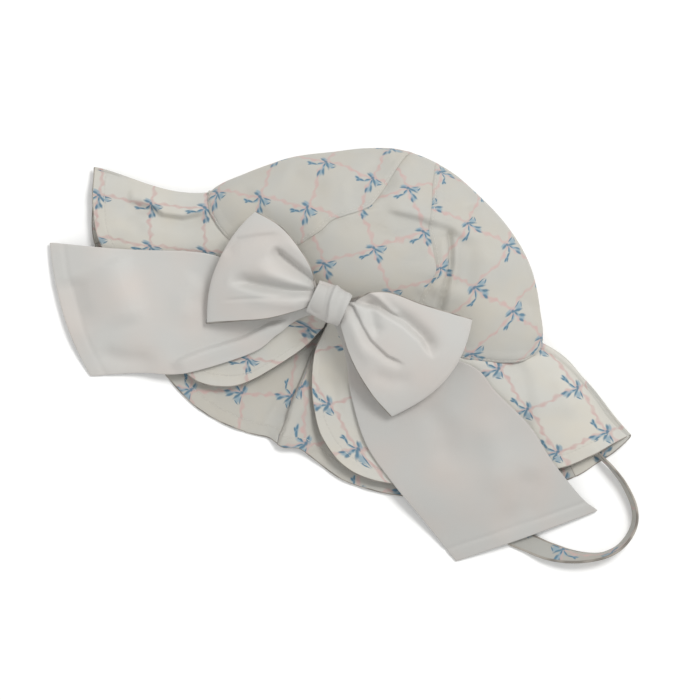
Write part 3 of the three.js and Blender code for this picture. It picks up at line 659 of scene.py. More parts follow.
def finish_material(tree, colour, height, bump_distance, roughness, sheen):
    """The shader that all the hat's cloth and thread share: rough, with a soft sheen."""
    bump = add(tree, "ShaderNodeBump", {"Strength": 1.0, "Distance": bump_distance * MM,
                                        "Height": height})
    inputs = {"Base Color": colour, "Normal": bump, "Roughness": roughness,
              "Specular IOR Level": 0.3, "Sheen Weight": sheen, "Sheen Roughness": 0.5}
    surface = add(tree, "ShaderNodeBsdfPrincipled", inputs)
    add(tree, "ShaderNodeOutputMaterial", {"Surface": surface})


def toned(colour, tone):
    """A colour made brighter, or darker where tone is below 1."""
    return tuple(part * tone for part in colour)


def mix_colour(tree, share, under, over):
    """One colour over another by a share of it; each is a colour or a node's output."""
    mixed = add(tree, "ShaderNodeMix", {"Factor": share}, data_type="RGBA")
    for index, value in ((6, under), (7, over)):
        if isinstance(value, tuple):
            mixed.inputs[index].default_value = (*value, 1)
        else:
            tree.links.new(value, mixed.inputs[index])
    return mixed.outputs[2]


# The cloth's own map is in mm, so a noise's scale below is in features for each mm.
WEAVE_SPACING = 0.55  # mm; real threads lie about 0.25 apart, too fine to show


def weave_height(tree, place, spacing):
    """A plain weave: threads over and under each other both ways, with uneven slubs."""
    split = add(tree, "ShaderNodeSeparateXYZ", {0: place})
    waves = []
    for axis in (0, 1):
        turned = add(tree, "ShaderNodeMath", {0: split.outputs[axis], 1: 2 * pi / spacing},
                     operation="MULTIPLY")
        waves.append(add(tree, "ShaderNodeMath", {0: turned}, operation="SINE"))
    woven = add(tree, "ShaderNodeMath", {0: waves[0], 1: waves[1]}, operation="MULTIPLY")
    slubs = add(tree, "ShaderNodeTexNoise", {"Vector": place, "Scale": 0.9, "Detail": 3.0})
    return add(tree, "ShaderNodeMath", {0: slubs, 1: 1.6, 2: woven}, operation="MULTIPLY_ADD")


def strokes(tree, place, rows):
    """The share of ink at each place that a table of soft oval strokes gives."""
    total = None
    for x, y, long, wide, slant in zip(*rows.values()):
        own = add(tree, "ShaderNodeMapping",
                  {"Vector": place, "Location": (x, y, 0), "Rotation": (0, 0, radians(slant)),
                   "Scale": (long, wide, 1)}, vector_type="TEXTURE")
        reach = add(tree, "ShaderNodeVectorMath", {0: own}, operation="LENGTH")
        ink = add(tree, "ShaderNodeMapRange",
                  {"Value": reach.outputs["Value"], "From Min": 1.35, "From Max": 0.6})
        total = ink if total is None else add(
            tree, "ShaderNodeMath", {0: total, 1: ink}, operation="MAXIMUM")
    return total


TRELLIS_EDGE = 33.0  # mm from one printed bow to the next along a ribbon
RIBBON_WAVES = 5  # small waves in each length of printed ribbon
RIBBON_SMALL_SWAY, RIBBON_LONG_SWAY = 0.4, 0.8  # mm to each side
RIBBON_WIDTH, RIBBON_TWIST = 1.5, 0.6  # mm, half the ribbon's width and how much that varies


def printed_ribbon(tree, cell, along, axis):
    """The share of ink of one of the trellis's two sets of wavy ribbons. Each sways in
    small waves and one long one, and looks twisted where it gets narrow."""
    waved = []
    for waves, reach in ((RIBBON_WAVES, RIBBON_SMALL_SWAY), (1, RIBBON_LONG_SWAY)):
        turned = add(tree, "ShaderNodeMath", {0: along, 1: 2 * pi * waves}, operation="MULTIPLY")
        wave = add(tree, "ShaderNodeMath", {0: turned}, operation="SINE")
        waved.append(add(tree, "ShaderNodeMath", {0: wave, 1: reach}, operation="MULTIPLY"))
    swing = add(tree, "ShaderNodeMath", {0: waved[0], 1: waved[1]}, operation="ADD")
    away = add(tree, "ShaderNodeMath", {0: cell, 1: TRELLIS_EDGE, 2: swing},
               operation="MULTIPLY_ADD")
    away = add(tree, "ShaderNodeMath", {0: away}, operation="ABSOLUTE")
    twist = add(tree, "ShaderNodeMath", {0: along, 1: 2 * pi * (RIBBON_WAVES - 1), 2: 1.3 + axis},
                operation="MULTIPLY_ADD")
    twist = add(tree, "ShaderNodeMath", {0: twist}, operation="SINE")
    width = add(tree, "ShaderNodeMath", {0: twist, 1: RIBBON_TWIST, 2: RIBBON_WIDTH},
                operation="MULTIPLY_ADD")
    inner = add(tree, "ShaderNodeMath", {0: width, 1: 0.3}, operation="MULTIPLY")
    return add(tree, "ShaderNodeMapRange", {"Value": away, "From Min": width, "From Max": inner})


def printed_cotton(settings, name="printed_cotton_lawn", tone=1.0):
    """Printed cotton lawn: plain woven, matt off-white cloth, with a ribbon trellis and
    little bows that the print's soft edges leave looking painted by hand."""
    material, tree = new_material(name)
    place = add(tree, "ShaderNodeUVMap", uv_map="cloth")
    # The ink strays from its lines a little, as paint from a brush does.
    shake = add(tree, "ShaderNodeTexNoise", {"Vector": place, "Scale": 0.22, "Detail": 1.0})
    shake = add(tree, "ShaderNodeVectorMath", {0: shake.outputs["Color"], 1: (0.5, 0.5, 0.5)},
                operation="SUBTRACT")
    shaken = add(tree, "ShaderNodeVectorMath", {0: shake, 1: (1.6, 1.6, 0), 2: place},
                 operation="MULTIPLY_ADD")
    # The trellis stands on its corners: cell is the place in it round the nearest bow.
    scale = 1 / TRELLIS_EDGE
    lattice = add(tree, "ShaderNodeMapping",
                  {"Vector": shaken, "Rotation": (0, 0, radians(45)), "Scale": (scale, scale, 0)})
    moved = add(tree, "ShaderNodeVectorMath", {0: lattice, 1: (0.5, 0.5, 0)}, operation="ADD")
    cell = add(tree, "ShaderNodeVectorMath", {0: moved}, operation="FRACTION")
    cell = add(tree, "ShaderNodeVectorMath", {0: cell, 1: (0.5, 0.5, 0)}, operation="SUBTRACT")
    bow = add(tree, "ShaderNodeMapping",
              {"Vector": cell, "Rotation": (0, 0, radians(-45)),
               "Scale": (TRELLIS_EDGE, TRELLIS_EDGE, 0)})
    cell_parts = add(tree, "ShaderNodeSeparateXYZ", {0: cell})
    lattice_parts = add(tree, "ShaderNodeSeparateXYZ", {0: lattice})
    ribbons = [printed_ribbon(tree, cell_parts.outputs[axis], lattice_parts.outputs[1 - axis], axis)
               for axis in (0, 1)]
    ribbon = add(tree, "ShaderNodeMath", {0: ribbons[0], 1: ribbons[1]}, operation="MAXIMUM")
    blotch = add(tree, "ShaderNodeTexNoise", {"Vector": place, "Scale": 0.3, "Detail": 2.0})
    blotch = add(tree, "ShaderNodeMapRange", {"Value": blotch, "From Min": 0.3, "From Max": 0.7,
                                              "To Min": 0.45, "To Max": 0.95})
    ribbon = add(tree, "ShaderNodeMath", {0: ribbon, 1: blotch}, operation="MULTIPLY")
    wash = add(tree, "ShaderNodeMath", {0: strokes(tree, bow, BOW_WASHES), 1: 0.85},
               operation="MULTIPLY")
    line = add(tree, "ShaderNodeMath", {0: strokes(tree, bow, BOW_LINES), 1: 0.9},
               operation="MULTIPLY")
    mottle = add(tree, "ShaderNodeTexNoise", {"Vector": place, "Scale": 0.03, "Detail": 2.0})
    warmth = add(tree, "ShaderNodeMapRange", {"Value": mottle, "From Min": 0.35, "From Max": 0.65})
    colour = mix_colour(tree, warmth.outputs[0], toned(settings.cloth_cool, tone),
                        toned(settings.cloth_warm, tone))
    colour = mix_colour(tree, ribbon.outputs[0], colour, tuple(settings.ribbon_ink))
    colour = mix_colour(tree, wash.outputs[0], colour, tuple(settings.bow_wash))
    colour = mix_colour(tree, line.outputs[0], colour, tuple(settings.bow_line))
    height = weave_height(tree, place, WEAVE_SPACING)
    finish_material(tree, colour, height, 0.05, roughness=0.88, sheen=0.1)
    return material


def strap_cotton(settings):
    """The strap's own printed cotton, made darker so that it looks greyer: painted shade for the
    shadow that the strap lies in.
    """
    return printed_cotton(settings, "printed_cotton_lawn_shaded", 0.84)


def brim_cotton(settings):
    """The back flaps' printed cotton, made brighter: painted light that lifts the flaps out of the
    shade under the bow.
    """
    return printed_cotton(settings, "printed_cotton_lawn_painted_light", 1.16)


def plain_cotton(settings, name="cotton_sateen_ribbon", tone=1.0):
    """Plain cotton sateen ribbon: pale grey, smoother than the hat's cloth, so that its
    folds catch a soft light, with faint blotches where it has been worn."""
    material, tree = new_material(name)
    place = add(tree, "ShaderNodeUVMap", uv_map="cloth")
    mottle = add(tree, "ShaderNodeTexNoise", {"Vector": place, "Scale": 0.022, "Detail": 1.0})
    warmth = add(tree, "ShaderNodeMapRange", {"Value": mottle, "From Min": 0.38, "From Max": 0.62})
    colour = mix_colour(tree, warmth.outputs[0], toned(settings.ribbon_cool, tone),
                        toned(settings.ribbon_warm, tone))
    height = weave_height(tree, place, 0.8 * WEAVE_SPACING)
    finish_material(tree, colour, height, 0.03, roughness=0.62, sheen=0.25)
    return material


def ribbon_painted_shade(settings):
    """The ribbon of the knot and the right tail, made darker so that it looks greyer: painted shade
    standing in for the shade that falls on them.
    """
    return plain_cotton(settings, "cotton_sateen_ribbon_painted_shade", 0.87)


def hem_edge_painted_shade(settings):
    """Painted shade for the turned edge of a hem or seam: a dark colour that stands in for the
    shadow along that edge, so that it draws a thin dark line round each piece of cloth."""
    material, tree = new_material("hem_edge_painted_shade")
    place = add(tree, "ShaderNodeUVMap", uv_map="cloth")
    mottle = add(tree, "ShaderNodeTexNoise", {"Vector": place, "Scale": 0.08, "Detail": 1.0})
    share = add(tree, "ShaderNodeMapRange", {"Value": mottle, "From Min": 0.4, "From Max": 0.6})
    # Both colours are painted shade, mottled one into the other.
    colour = mix_colour(tree, share.outputs[0], tuple(settings.edge), linear("#a39d94"))
    height = weave_height(tree, place, WEAVE_SPACING)
    finish_material(tree, colour, height, 0.04, roughness=0.9, sheen=0.05)
    return material


def sewing_thread(settings):
    """White spun polyester thread: brighter than the cloth, with a faint gloss."""
    material, tree = new_material("sewing_thread")
    place = add(tree, "ShaderNodeUVMap", uv_map="cloth")
    twist = add(tree, "ShaderNodeTexWave", {"Vector": place, "Scale": 1.2})
    share = add(tree, "ShaderNodeMath", {0: twist.outputs["Fac"], 1: 0.35}, operation="MULTIPLY")
    colour = mix_colour(tree, share.outputs[0], tuple(settings.thread), linear("#b9b6ae"))
    finish_material(tree, colour, twist.outputs["Fac"], 0.03, roughness=0.5, sheen=0.1)
    return material


def pale_paper(settings):
    """Pale paper under the hat: matt and almost white, so that little but the hat's own
    soft shadow shows on it."""
    material, tree = new_material("pale_paper")
    grain = add(tree, "ShaderNodeTexNoise", {"Scale": 900.0, "Detail": 2.0})
    share = add(tree, "ShaderNodeMath", {0: grain.outputs[0], 1: 0.3}, operation="MULTIPLY")
    colour = mix_colour(tree, share.outputs[0], linear("#fbfbfa"), linear("#f6f6f4"))
    surface = add(tree, "ShaderNodeBsdfPrincipled", {"Base Color": colour, "Roughness": 0.9})
    add(tree, "ShaderNodeOutputMaterial", {"Surface": surface})
    return material


MATERIAL_MAKERS = {
    "printed_cotton_lawn": printed_cotton,
    "printed_cotton_lawn_painted_light": brim_cotton,
    "printed_cotton_lawn_shaded": strap_cotton,
    "cotton_sateen_ribbon": plain_cotton,
    "cotton_sateen_ribbon_painted_shade": ribbon_painted_shade,
    "hem_edge_painted_shade": hem_edge_painted_shade,
    "sewing_thread": sewing_thread,
    "pale_paper": pale_paper,
}


def shared_material(context, name):
    """One of the hat's materials, made the first time that it is asked for."""
    found = bpy.data.materials.get(name)
    return found or MATERIAL_MAKERS[name](context.scene.sun_hat.colours)


def cloth_and_shaded_edge(context, name):
    """A cloth with the painted-shade material of its turned edges, for cloth_wall and build_mesh."""
    return [shared_material(context, name), shared_material(context, "hem_edge_painted_shade")]


# ---- settings ----
class SunHatSizes(bpy.types.PropertyGroup):
    """Sizes of the hat's cloth and stitching."""

    cloth: FloatProperty(
        name="Cloth", description="Thickness of the sewn layers of the hat",
        default=1.5 * MM, unit="LENGTH")
    ribbon: FloatProperty(
        name="Ribbon", description="Thickness of the bow's cloth",
        default=1.2 * MM, unit="LENGTH")
    stitch: FloatProperty(
        name="Stitch", description="Length from one topstitch to the next",
        default=2.7 * MM, unit="LENGTH")
    hem: FloatProperty(
        name="Hem", description="Depth of the brim's turned hem",
        default=8 * MM, unit="LENGTH")


class SunHatColours(bpy.types.PropertyGroup):
    """Colours of the hat's cloth, print, bow and thread."""

    cloth_cool: FloatVectorProperty(
        name="Cloth, cool", description="Ground of the print, its cooler tone",
        subtype="COLOR", default=linear("#b6b5af"))
    cloth_warm: FloatVectorProperty(
        name="Cloth, warm", description="Ground of the print, its warmer tone",
        subtype="COLOR", default=linear("#bab6ac"))
    ribbon_ink: FloatVectorProperty(
        name="Printed ribbon", description="Ink of the trellis",
        subtype="COLOR", default=linear("#bfa39e"))
    bow_wash: FloatVectorProperty(
        name="Printed bow, wash", description="Pale ink of the printed bows",
        subtype="COLOR", default=linear("#879eaa"))
    bow_line: FloatVectorProperty(
        name="Printed bow, line", description="Dark ink of the printed bows",
        subtype="COLOR", default=linear("#4e758b"))
    ribbon_cool: FloatVectorProperty(
        name="Ribbon, cool", description="The bow's cloth, its cooler tone",
        subtype="COLOR", default=linear("#c1c0bc"))
    ribbon_warm: FloatVectorProperty(
        name="Ribbon, warm", description="The bow's cloth, its warmer tone",
        subtype="COLOR", default=linear("#c5bfb9"))
    # Painted shade: this dark colour on the edges of hems and seams stands in for the shadow beside
    # them.
    edge: FloatVectorProperty(
        name="Hem edge", description="The turned edges of the cloth",
        subtype="COLOR", default=linear("#7f7a73"))
    thread: FloatVectorProperty(
        name="Thread", description="Topstitching thread",
        subtype="COLOR", default=linear("#c4c1b9"))


class SunHatSettings(bpy.types.PropertyGroup):
    """Everything about the hat that can be changed."""

    sizes: PointerProperty(type=SunHatSizes, name="Sizes", description="Sizes of the hat")
    colours: PointerProperty(type=SunHatColours, name="Colours", description="Colours of the hat")


# ---- the crown ----
GORES = {
    "crown_gore_back": ("back_left", "back_right"),
    "crown_gore_right": ("back_right", "front_right"),
    "crown_gore_front_right": ("front_right", "front_middle"),
    "crown_gore_front_left": ("front_middle", "front_left"),
    "crown_gore_left": ("front_left", "back_left"),
}
GORE_TOP = 0.985  # share of a panel's length that stops short of the seams' meeting place
GORE_GRID = (172, 170)  # rows and columns
HIDDEN_GRID = (50, 50)  # the same for a panel that lies underneath
STITCH_ROW = 1.8  # mm in from a seam
STITCH_GROOVE = 0.3  # mm deep
# Uneven cloth, here and below, is in rows of height and size in mm, and a seed.
SEAM_PUCKERS, SEAM_PUCKER_REACH = (0.22, 4.5, 11), 6  # the second in mm, how far in they run
CROWN_UNEVEN = [(0.4, 16, 12), (0.8, 38, 13)]

# Folds in the crown: places in plan, width to the left and right of the way, height.
CROWN_CREASES = [
    ([(-12, 34), (9, 38.2), (20, 39.2), (30, 41), (46, 38)], 7, 2.0, 2.6),
    ([(-10, 32), (10, 36), (20, 37), (30, 38.6), (45, 35.6)], 2.2, 7, -1.7),
    ([(16, 60), (20, 52), (26, 44)], 3, 6, 1.6),
    ([(30, 40), (35.2, 31.6), (40.9, 19), (42.6, 8), (44.9, -5), (47, -16)], 2.4, 1.1, -4.0),
    ([(34, 38), (39, 31), (44.5, 19), (46.4, 8), (48.6, -5)], 2, 2.5, 1.3),
    ([(28, 36), (31, 30), (35.5, 19), (37.5, 8), (39, -5)], 4, 3, 1.6),
    ([(44, 42), (49, 30), (53, 18), (55, 6)], 5, 7, -2.6),
    ([(38, 62), (44, 54), (50, 44)], 4, 5, -2.0),
    ([(62, 42), (66, 26), (66, 8)], 8, 9, 2.0),
    ([(-24, 68), (-27, 54), (-32, 42), (-38, 34)], 6, 4, -2.0),
    ([(-10, 58), (-17, 44), (-23, 34), (-32, 23)], 5, 7, -2.4),
    ([(-34, 14), (-22, 26), (-14, 40)], 6, 6, 1.0),
    ([(86, 24), (98, 18), (108, 8)], 5, 4, -1.5),
    ([(-76, 32), (-60, 30), (-46, 34)], 6, 9, -2.0),
    ([(-100, 12), (-84, 4), (-72, -6)], 5, 8, -1.6),
]


def stitched_edge(away, height):
    """The roll of a seam's turned-in edge, with a groove at its topstitching."""
    roll = height * 0.5 * smooth_step(9, 4, away)
    roll = roll - STITCH_GROOVE * hill(away - STITCH_ROW, 0.6)
    return roll - 0.5 * height * hill(away, 0.7)


def gore_relief(name, points, normals):
    """Seams that pull in, stitched edges that stand up, puckers and folds. Heights and
    widths are in mm."""
    left, right, start, end = edge_distances(points)
    x, y = points[..., 0], points[..., 1]
    near = np.minimum(np.minimum(left, right), start)
    relief = uneven(x, y, [SEAM_PUCKERS]) * np.exp(-near / SEAM_PUCKER_REACH)
    relief += uneven(x, y, CROWN_UNEVEN) + crease_height(x, y, CROWN_CREASES)
    relief += stitched_edge(start, 1.0)
    if name == "crown_gore_back":
        relief -= 0.7 * hill(left, 4.5) + 0.3 * hill(right, 0.8)
    if name == "crown_gore_right":
        relief += stitched_edge(left, 1.2)
    if name == "crown_gore_left":
        relief += 0.4 * hill(right, 6) + stitched_edge(right, 1.0)
    turned_up = 0.15 + 0.85 * smooth_step(0.1, 0.6, normals[..., 2])
    return relief * smooth_step(0, 12, end) * turned_up


def gore_surface(name):
    """A panel's places, the way each faces, and where it lies on the printed cloth."""
    hidden = "front" in name
    rows, columns = HIDDEN_GRID if hidden else GORE_GRID
    u, v = np.meshgrid(np.linspace(0, 1, columns), np.linspace(0, GORE_TOP, rows))
    points = gore_points(*GORES[name], u, v)
    normals = grid_normals(points)
    uv = print_places(points, normals, PRINT_PLACES[name])
    if not hidden:
        points = raised(points, normals, gore_relief(name, points, normals))
    return points, grid_normals(points), uv


class SUNHAT_OT_crown(bpy.types.Operator):
    """Sew the crown from its five puffed panels"""

    bl_idname = "sunhat.crown"
    bl_label = "Crown"

    def execute(self, context):
        thickness = context.scene.sun_hat.sizes.cloth / MM
        materials = [shared_material(context, "printed_cotton_lawn")] * 2
        for name in GORES:
            points, _, uv = gore_surface(name)
            dress(cloth_wall(name + "_cloth", points, uv, thickness, materials), name)
        return {"FINISHED"}


# ---- the brim ----
BRIM_PARTS = {
    "brim_back_right": (SPLIT_TURN, SIDE_SEAM_TURN),
    "brim_front": (SIDE_SEAM_TURN, 360 - SIDE_SEAM_TURN),
    "brim_back_left": (360 - SIDE_SEAM_TURN, 360 + SPLIT_TURN),
}
BRIM_TRIM = 0.08  # degrees left free beside the split and the side seams
BRIM_TUCK = 0.016  # share of the brim's width that is sewn in under the crown
FLAP_GRID = (84, 240)  # rows and columns
FRONT_GRID = (64, 170)
FOLD_STEADY = 20  # rows over which a flap's wall is evened out past its sharp side fold
HEM_STITCH_IN = 0.8  # mm from the hem's inner edge out to its stitches
CORNER_REACH = 14  # mm
FLAP_CORNER_THIN = 0.3  # share of its thickness that a flap keeps at the corner of the split
HEM_RISE = 0.3  # mm that the hem's second layer stands up
HEM_GROOVE, GROOVE_WIDTH = 0.35, 0.6  # mm, where it is sewn down
SEAM_DIP, SEAM_DIP_WIDTH = 1.0, 1.6  # mm, where the brim is sewn to the crown
HEM_PUCKERS, HEM_PUCKER_REACH = (0.22, 5, 21), 9  # the second in mm, how far in they run
BRIM_UNEVEN = [(0.35, 15, 22), (0.6, 34, 23)]

# Folds in the back flaps, in rows like the crown's.
FLAP_CREASES = [
    ([(-160, -26), (-150.4, -22.7), (-142, -22.4), (-134, -24.1), (-122, -20.2), (-106, -8)],
     5, 2, 2.6),
    ([(-160, -28), (-142, -25), (-134, -26.5), (-122, -23), (-106, -11)], 1.2, 6, -3.0),
    ([(-160, -38), (-148, -38), (-138, -42)], 5, 5, -1.4),
    ([(125, -12), (140, -22), (152, -36)], 6, 6, 1.6),
    ([(96, -12), (110, -22), (122, -40), (128, -60)], 5, 7, -2.0),
    ([(-80, -96), (-66, -90), (-50, -84)], 4, 4, -1.0),
    ([(2, -68), (10, -84), (22, -98)], 4, 4, -1.0),
]

# The front brim's one sharp fold, which overlaps towards -X.
FRONT_FOLD = [(-12.9, -56), (-10.7, -82.4), (-8.5, -110.7), (-8.6, -130)]
FRONT_CREASES = [(FRONT_FOLD, 12, 1.1, 4.4)]
FRONT_FOLD_TURN, FRONT_FOLD_SPREAD = 183.5, 3.0  # degrees, where its grid is finer
FRONT_FOLD_FINER = 5  # how many times finer, less one
FRONT_FOLD_STEPS = 2000  # steps in which that is worked out
FRONT_FOLD_SLIP = (-14.0, 21.0)  # mm of the print that the fold takes up
FRONT_LIP = (-6.0, 7.0, 4.4)  # mm: place in x, width and reach of the hem's lip at the fold


def from_split_corner(name, points):
    """How far in plan each place of a flap is from the corner of its split and its hem."""
    corner = points[-1, -1 if name == "brim_back_right" else 0]
    return np.hypot(points[..., 0] - corner[0], points[..., 1] - corner[1])


def brim_relief(name, points, hem):
    """Turned hems with their row of stitching, puckers beside it, and folds. Heights and
    widths are in mm."""
    left, right, start, end = edge_distances(points)
    x, y = points[..., 0], points[..., 1]
    on_back = name != "brim_front"
    ends = np.minimum(end, np.minimum(left, right)) if on_back else end
    relief = -SEAM_DIP * hill(start, SEAM_DIP_WIDTH)
    relief += HEM_RISE * smooth_step(hem + HEM_STITCH_IN, hem - HEM_STITCH_IN, ends)
    relief -= HEM_GROOVE * hill(ends - hem + HEM_STITCH_IN, GROOVE_WIDTH)
    relief += uneven(x, y, [HEM_PUCKERS]) * np.exp(-ends / HEM_PUCKER_REACH)
    relief += uneven(x, y, BRIM_UNEVEN)
    relief += crease_height(x, y, FLAP_CREASES if on_back else FRONT_CREASES)
    # The cloth is smoother near its corners, so that its wall stays whole there.
    if on_back:
        relief = relief * smooth_step(4, CORNER_REACH, from_split_corner(name, points))
    beside = hill(np.minimum(left, right), CORNER_REACH)
    return relief * (1 - hill(start, CORNER_REACH) * beside)


def front_turns(columns):
    """The turns of the front brim's grid, which crowd together at its sharp fold."""
    from_turn, to_turn = BRIM_PARTS["brim_front"]
    steps = np.linspace(to_turn - BRIM_TRIM, from_turn + BRIM_TRIM, FRONT_FOLD_STEPS)
    near = hill(steps - FRONT_FOLD_TURN, FRONT_FOLD_SPREAD)
    crowd = np.cumsum(1 + FRONT_FOLD_FINER * near)
    return np.interp(np.linspace(crowd[0], crowd[-1], columns), crowd, steps)


def brim_sheet(name, turns, rows):
    """A part of the brim before its folds: its places, how far out each is, the way it
    faces and where it lies on the printed cloth."""
    turn, out = np.meshgrid(turns, np.linspace(-BRIM_TUCK, 1, rows))
    points = brim_points(turn, out)
    normals = grid_normals(points)
    return points, out, normals, print_places(points, normals, PRINT_PLACES[name])


def front_surface(hem):
    """The front brim, seen from its inner side: one sharp fold breaks its print, and a
    small lip of the hem stands out where that fold ends."""
    rows, columns = FRONT_GRID
    points, out, normals, uv = brim_sheet("brim_front", front_turns(columns), rows)
    beyond, _ = distance_to_line(points[..., 0], points[..., 1], FRONT_FOLD)
    uv = uv + smooth_step(-0.5, 0.5, beyond)[..., None] * np.array(FRONT_FOLD_SLIP)
    lip_x, lip_width, lip_reach = FRONT_LIP
    lip = hill(points[..., 0] - lip_x, lip_width) * smooth_step(0.8, 1, out)
    points[..., 1] -= lip_reach * lip
    relief = -np.abs(brim_relief("brim_front", points, hem))
    relief = relief * smooth_step(0.4, 0.85, np.abs(normals[..., 2]))
    points = raised(points, normals, relief)
    return points, grid_normals(points), uv


def flap_surface(name, hem):
    """A back flap of the brim, with its print slipped by the flap's own soft folds."""
    rows, columns = FLAP_GRID
    from_turn, to_turn = BRIM_PARTS[name]
    turns = np.linspace(to_turn - BRIM_TRIM, from_turn + BRIM_TRIM, columns)
    points, _, normals, uv = brim_sheet(name, turns, rows)
    x, y, slip_x, slip_y = PRINT_SLIPS[name]
    away = np.hypot(points[..., 0] - x, points[..., 1] - y)
    uv = uv + smooth_step(SLIP_FAR, SLIP_NEAR, away)[..., None] * np.array([slip_x, slip_y])
    relief = brim_relief(name, points, hem) * smooth_step(0.6, 0.92, normals[..., 2])
    points = raised(points, normals, relief)
    return points, grid_normals(points), uv


def brim_surface(name, hem):
    """A part of the brim: its places, the way each faces, and its place on the print."""
    return front_surface(hem) if name == "brim_front" else flap_surface(name, hem)


class SUNHAT_OT_brim(bpy.types.Operator):
    """Cut the brim's two back flaps and its front, with their turned hems"""

    bl_idname = "sunhat.brim"
    bl_label = "Brim"

    def execute(self, context):
        sizes = context.scene.sun_hat.sizes
        for name in BRIM_PARTS:
            points, _, uv = brim_surface(name, sizes.hem / MM)
            thickness, steady, cloth = sizes.cloth / MM, 0, "printed_cotton_lawn"
            if name != "brim_front":
                # The flap's corner at the split is pressed thin, so that its wall can turn.
                near = smooth_step(2, 12, from_split_corner(name, points))
                thickness *= FLAP_CORNER_THIN + (1 - FLAP_CORNER_THIN) * near
                # The flaps take the copy of the cloth with painted light.
                steady, cloth = FOLD_STEADY, "printed_cotton_lawn_painted_light"
            dress(cloth_wall(name + "_cloth", points, uv, thickness,
                             cloth_and_shaded_edge(context, cloth), steady=steady),
                  name)
        return {"FINISHED"}


# ---- the bow ----
LOOPS = {
    "bow_loop_left": (LOOP_LEFT, LOOP_BULGE_LEFT, -1),
    "bow_loop_right": (LOOP_RIGHT, LOOP_BULGE_RIGHT, 1),
}
# Where a loop's rows of places lie, from the knot's upper side to its lower: they are
# closer on the upper half, which shows.
LOOP_ROWS = np.concatenate([np.linspace(0.006, 0.53, 120), np.linspace(0.54, 0.994, 40)])
LOOP_ACROSS = 120
LOOP_UNEVEN = [(0.5, 26, 32)]

# Folds in the bow, in rows like the crown's.
LOOP_CREASES = [
    ([(-20, -26), (-28, -25), (-40.9, -22.7), (-52.7, -20.1), (-64, -17)], 5, 2.8, -7.0),
    ([(-24, -28), (-36, -29.5), (-52, -31), (-70, -31)], 5, 4, 2.4),
    ([(-20, -30), (-27.5, -31.7), (-41.5, -37.5), (-62.5, -42.5), (-80, -46)], 2.2, 5.5, -6.4),
    ([(-28, -38), (-46, -45), (-66, -52)], 4, 5, 1.6),
    ([(-31, -33.9), (-45.8, -41.4), (-64.6, -51.4), (-80, -60)], 1.2, 1.2, -0.7),
    ([(-30, -16), (-44, -12), (-60, -8)], 4, 5, 1.9),
    ([(-14, -25), (-3.4, -24.6), (11.5, -22.3), (29.8, -24.5), (43.8, -28.7), (56, -36)],
     5.5, 1.8, -5.2),
    ([(-6, -19), (2.5, -16.5), (8, -17), (18, -21), (27, -23)], 2.5, 1.5, 2.2),
    ([(-89.5, -33.5), (-83.9, -21), (-72.6, -13.8), (-58.3, -5.7)], 1.6, 5, -1.3),
    ([(-14, -28), (-3.3, -29.1), (6.2, -36.7), (15.2, -43.2), (28.6, -47.7), (42, -48)], 1.2, 3, -2.7),
    ([(2, -22), (8, -27), (13, -34), (20, -39)], 4.5, 2.5, -2.4),
    ([(0, -34), (10, -46), (24, -56)], 5, 5, 1.9),
    ([(22, -61), (37.4, -60), (52, -53)], 5, 5, -1.4),
]
KNOT_CREASES = [
    ([(-19, -14), (-17.1, -22.4), (-17, -28.3), (-16.3, -32.6), (-14, -38.9), (-12, -52)],
     3.5, 1.0, 2.2),
    ([(-28, -18), (-25, -32), (-21, -48)], 5, 4, -3.0),
    ([(-9, -12), (-8, -26), (-6, -44)], 2.5, 2.5, 1.4),
]
TAIL_CREASES = [
    ([(-92, -108), (-77.6, -92.2), (-68, -83.5), (-56, -72.7), (-44.8, -58.6), (-34, -50)],
     9, 1.4, -0.8),
    ([(-92, -109), (-77.6, -93.2), (-68, -84.5), (-56, -73.7), (-44.8, -59.6), (-34, -51)],
     1.1, 9, 3.8),
    ([(-172, -84), (-162, -98), (-146, -114)], 9, 7, -3.0),
    ([(-152, -62), (-143, -72), (-131, -84), (-121, -96)], 7, 13, 3.2),
    ([(-138, -122), (-118, -118), (-98, -108)], 6, 5, -2.2),
    ([(-96, -50), (-100, -66), (-90, -84)], 10, 9, 1.8),
    ([(60, -60), (82, -76), (96, -98)], 10, 8, -2.4),
    ([(66, -30), (74, -46), (78, -66)], 10, 12, -0.8),
    ([(96, -52), (118, -76), (128, -100)], 10, 10, 2.2),
    ([(140, -70), (146, -96), (138, -122)], 8, 10, -2.2),
]
TAILS = {"bow_tail_left": (TAIL_LEFT, TAIL_BULGE, -1), "bow_tail_right": (TAIL_RIGHT, 0, 1)}
TAIL_GRID = (130, 105)  # rows and columns
TAIL_UNEVEN = [(0.4, 30, 41)]
TAIL_HEM = 9.0  # mm, the depth of the hem at a tail's end
TAIL_HEM_RISE = 0.3  # mm that this hem's second layer stands up
TAIL_GROOVE, TAIL_GROOVE_WIDTH = 0.5, 1.4  # mm, where it is sewn down
KNOT_ROUND, KNOT_ACROSS = 160, 50  # places round the band and across it
KNOT_GIRTH = 60.0  # mm of ribbon round the band


def ribbon_uv(points):
    """Where each place of a length of ribbon lies on it: from its middle, and along it."""
    left, right, start, _ = edge_distances(points)
    return stack((left - right) / 2, start)


def loop_surface(rows, bulge, outwards):
    """A loop's places, with its folds on the side that shows."""
    u, v = np.meshgrid(np.linspace(0, 1, LOOP_ACROSS), LOOP_ROWS)
    points = loop_points(rows, bulge, outwards, u, v)
    if outwards > 0:
        points = points[:, ::-1]
    x, y = points[..., 0], points[..., 1]
    relief = crease_height(x, y, LOOP_CREASES) * smooth_step(0.55, 0.4, v)
    relief = relief + uneven(x, y, LOOP_UNEVEN)
    return raised(points, grid_normals(points), relief)


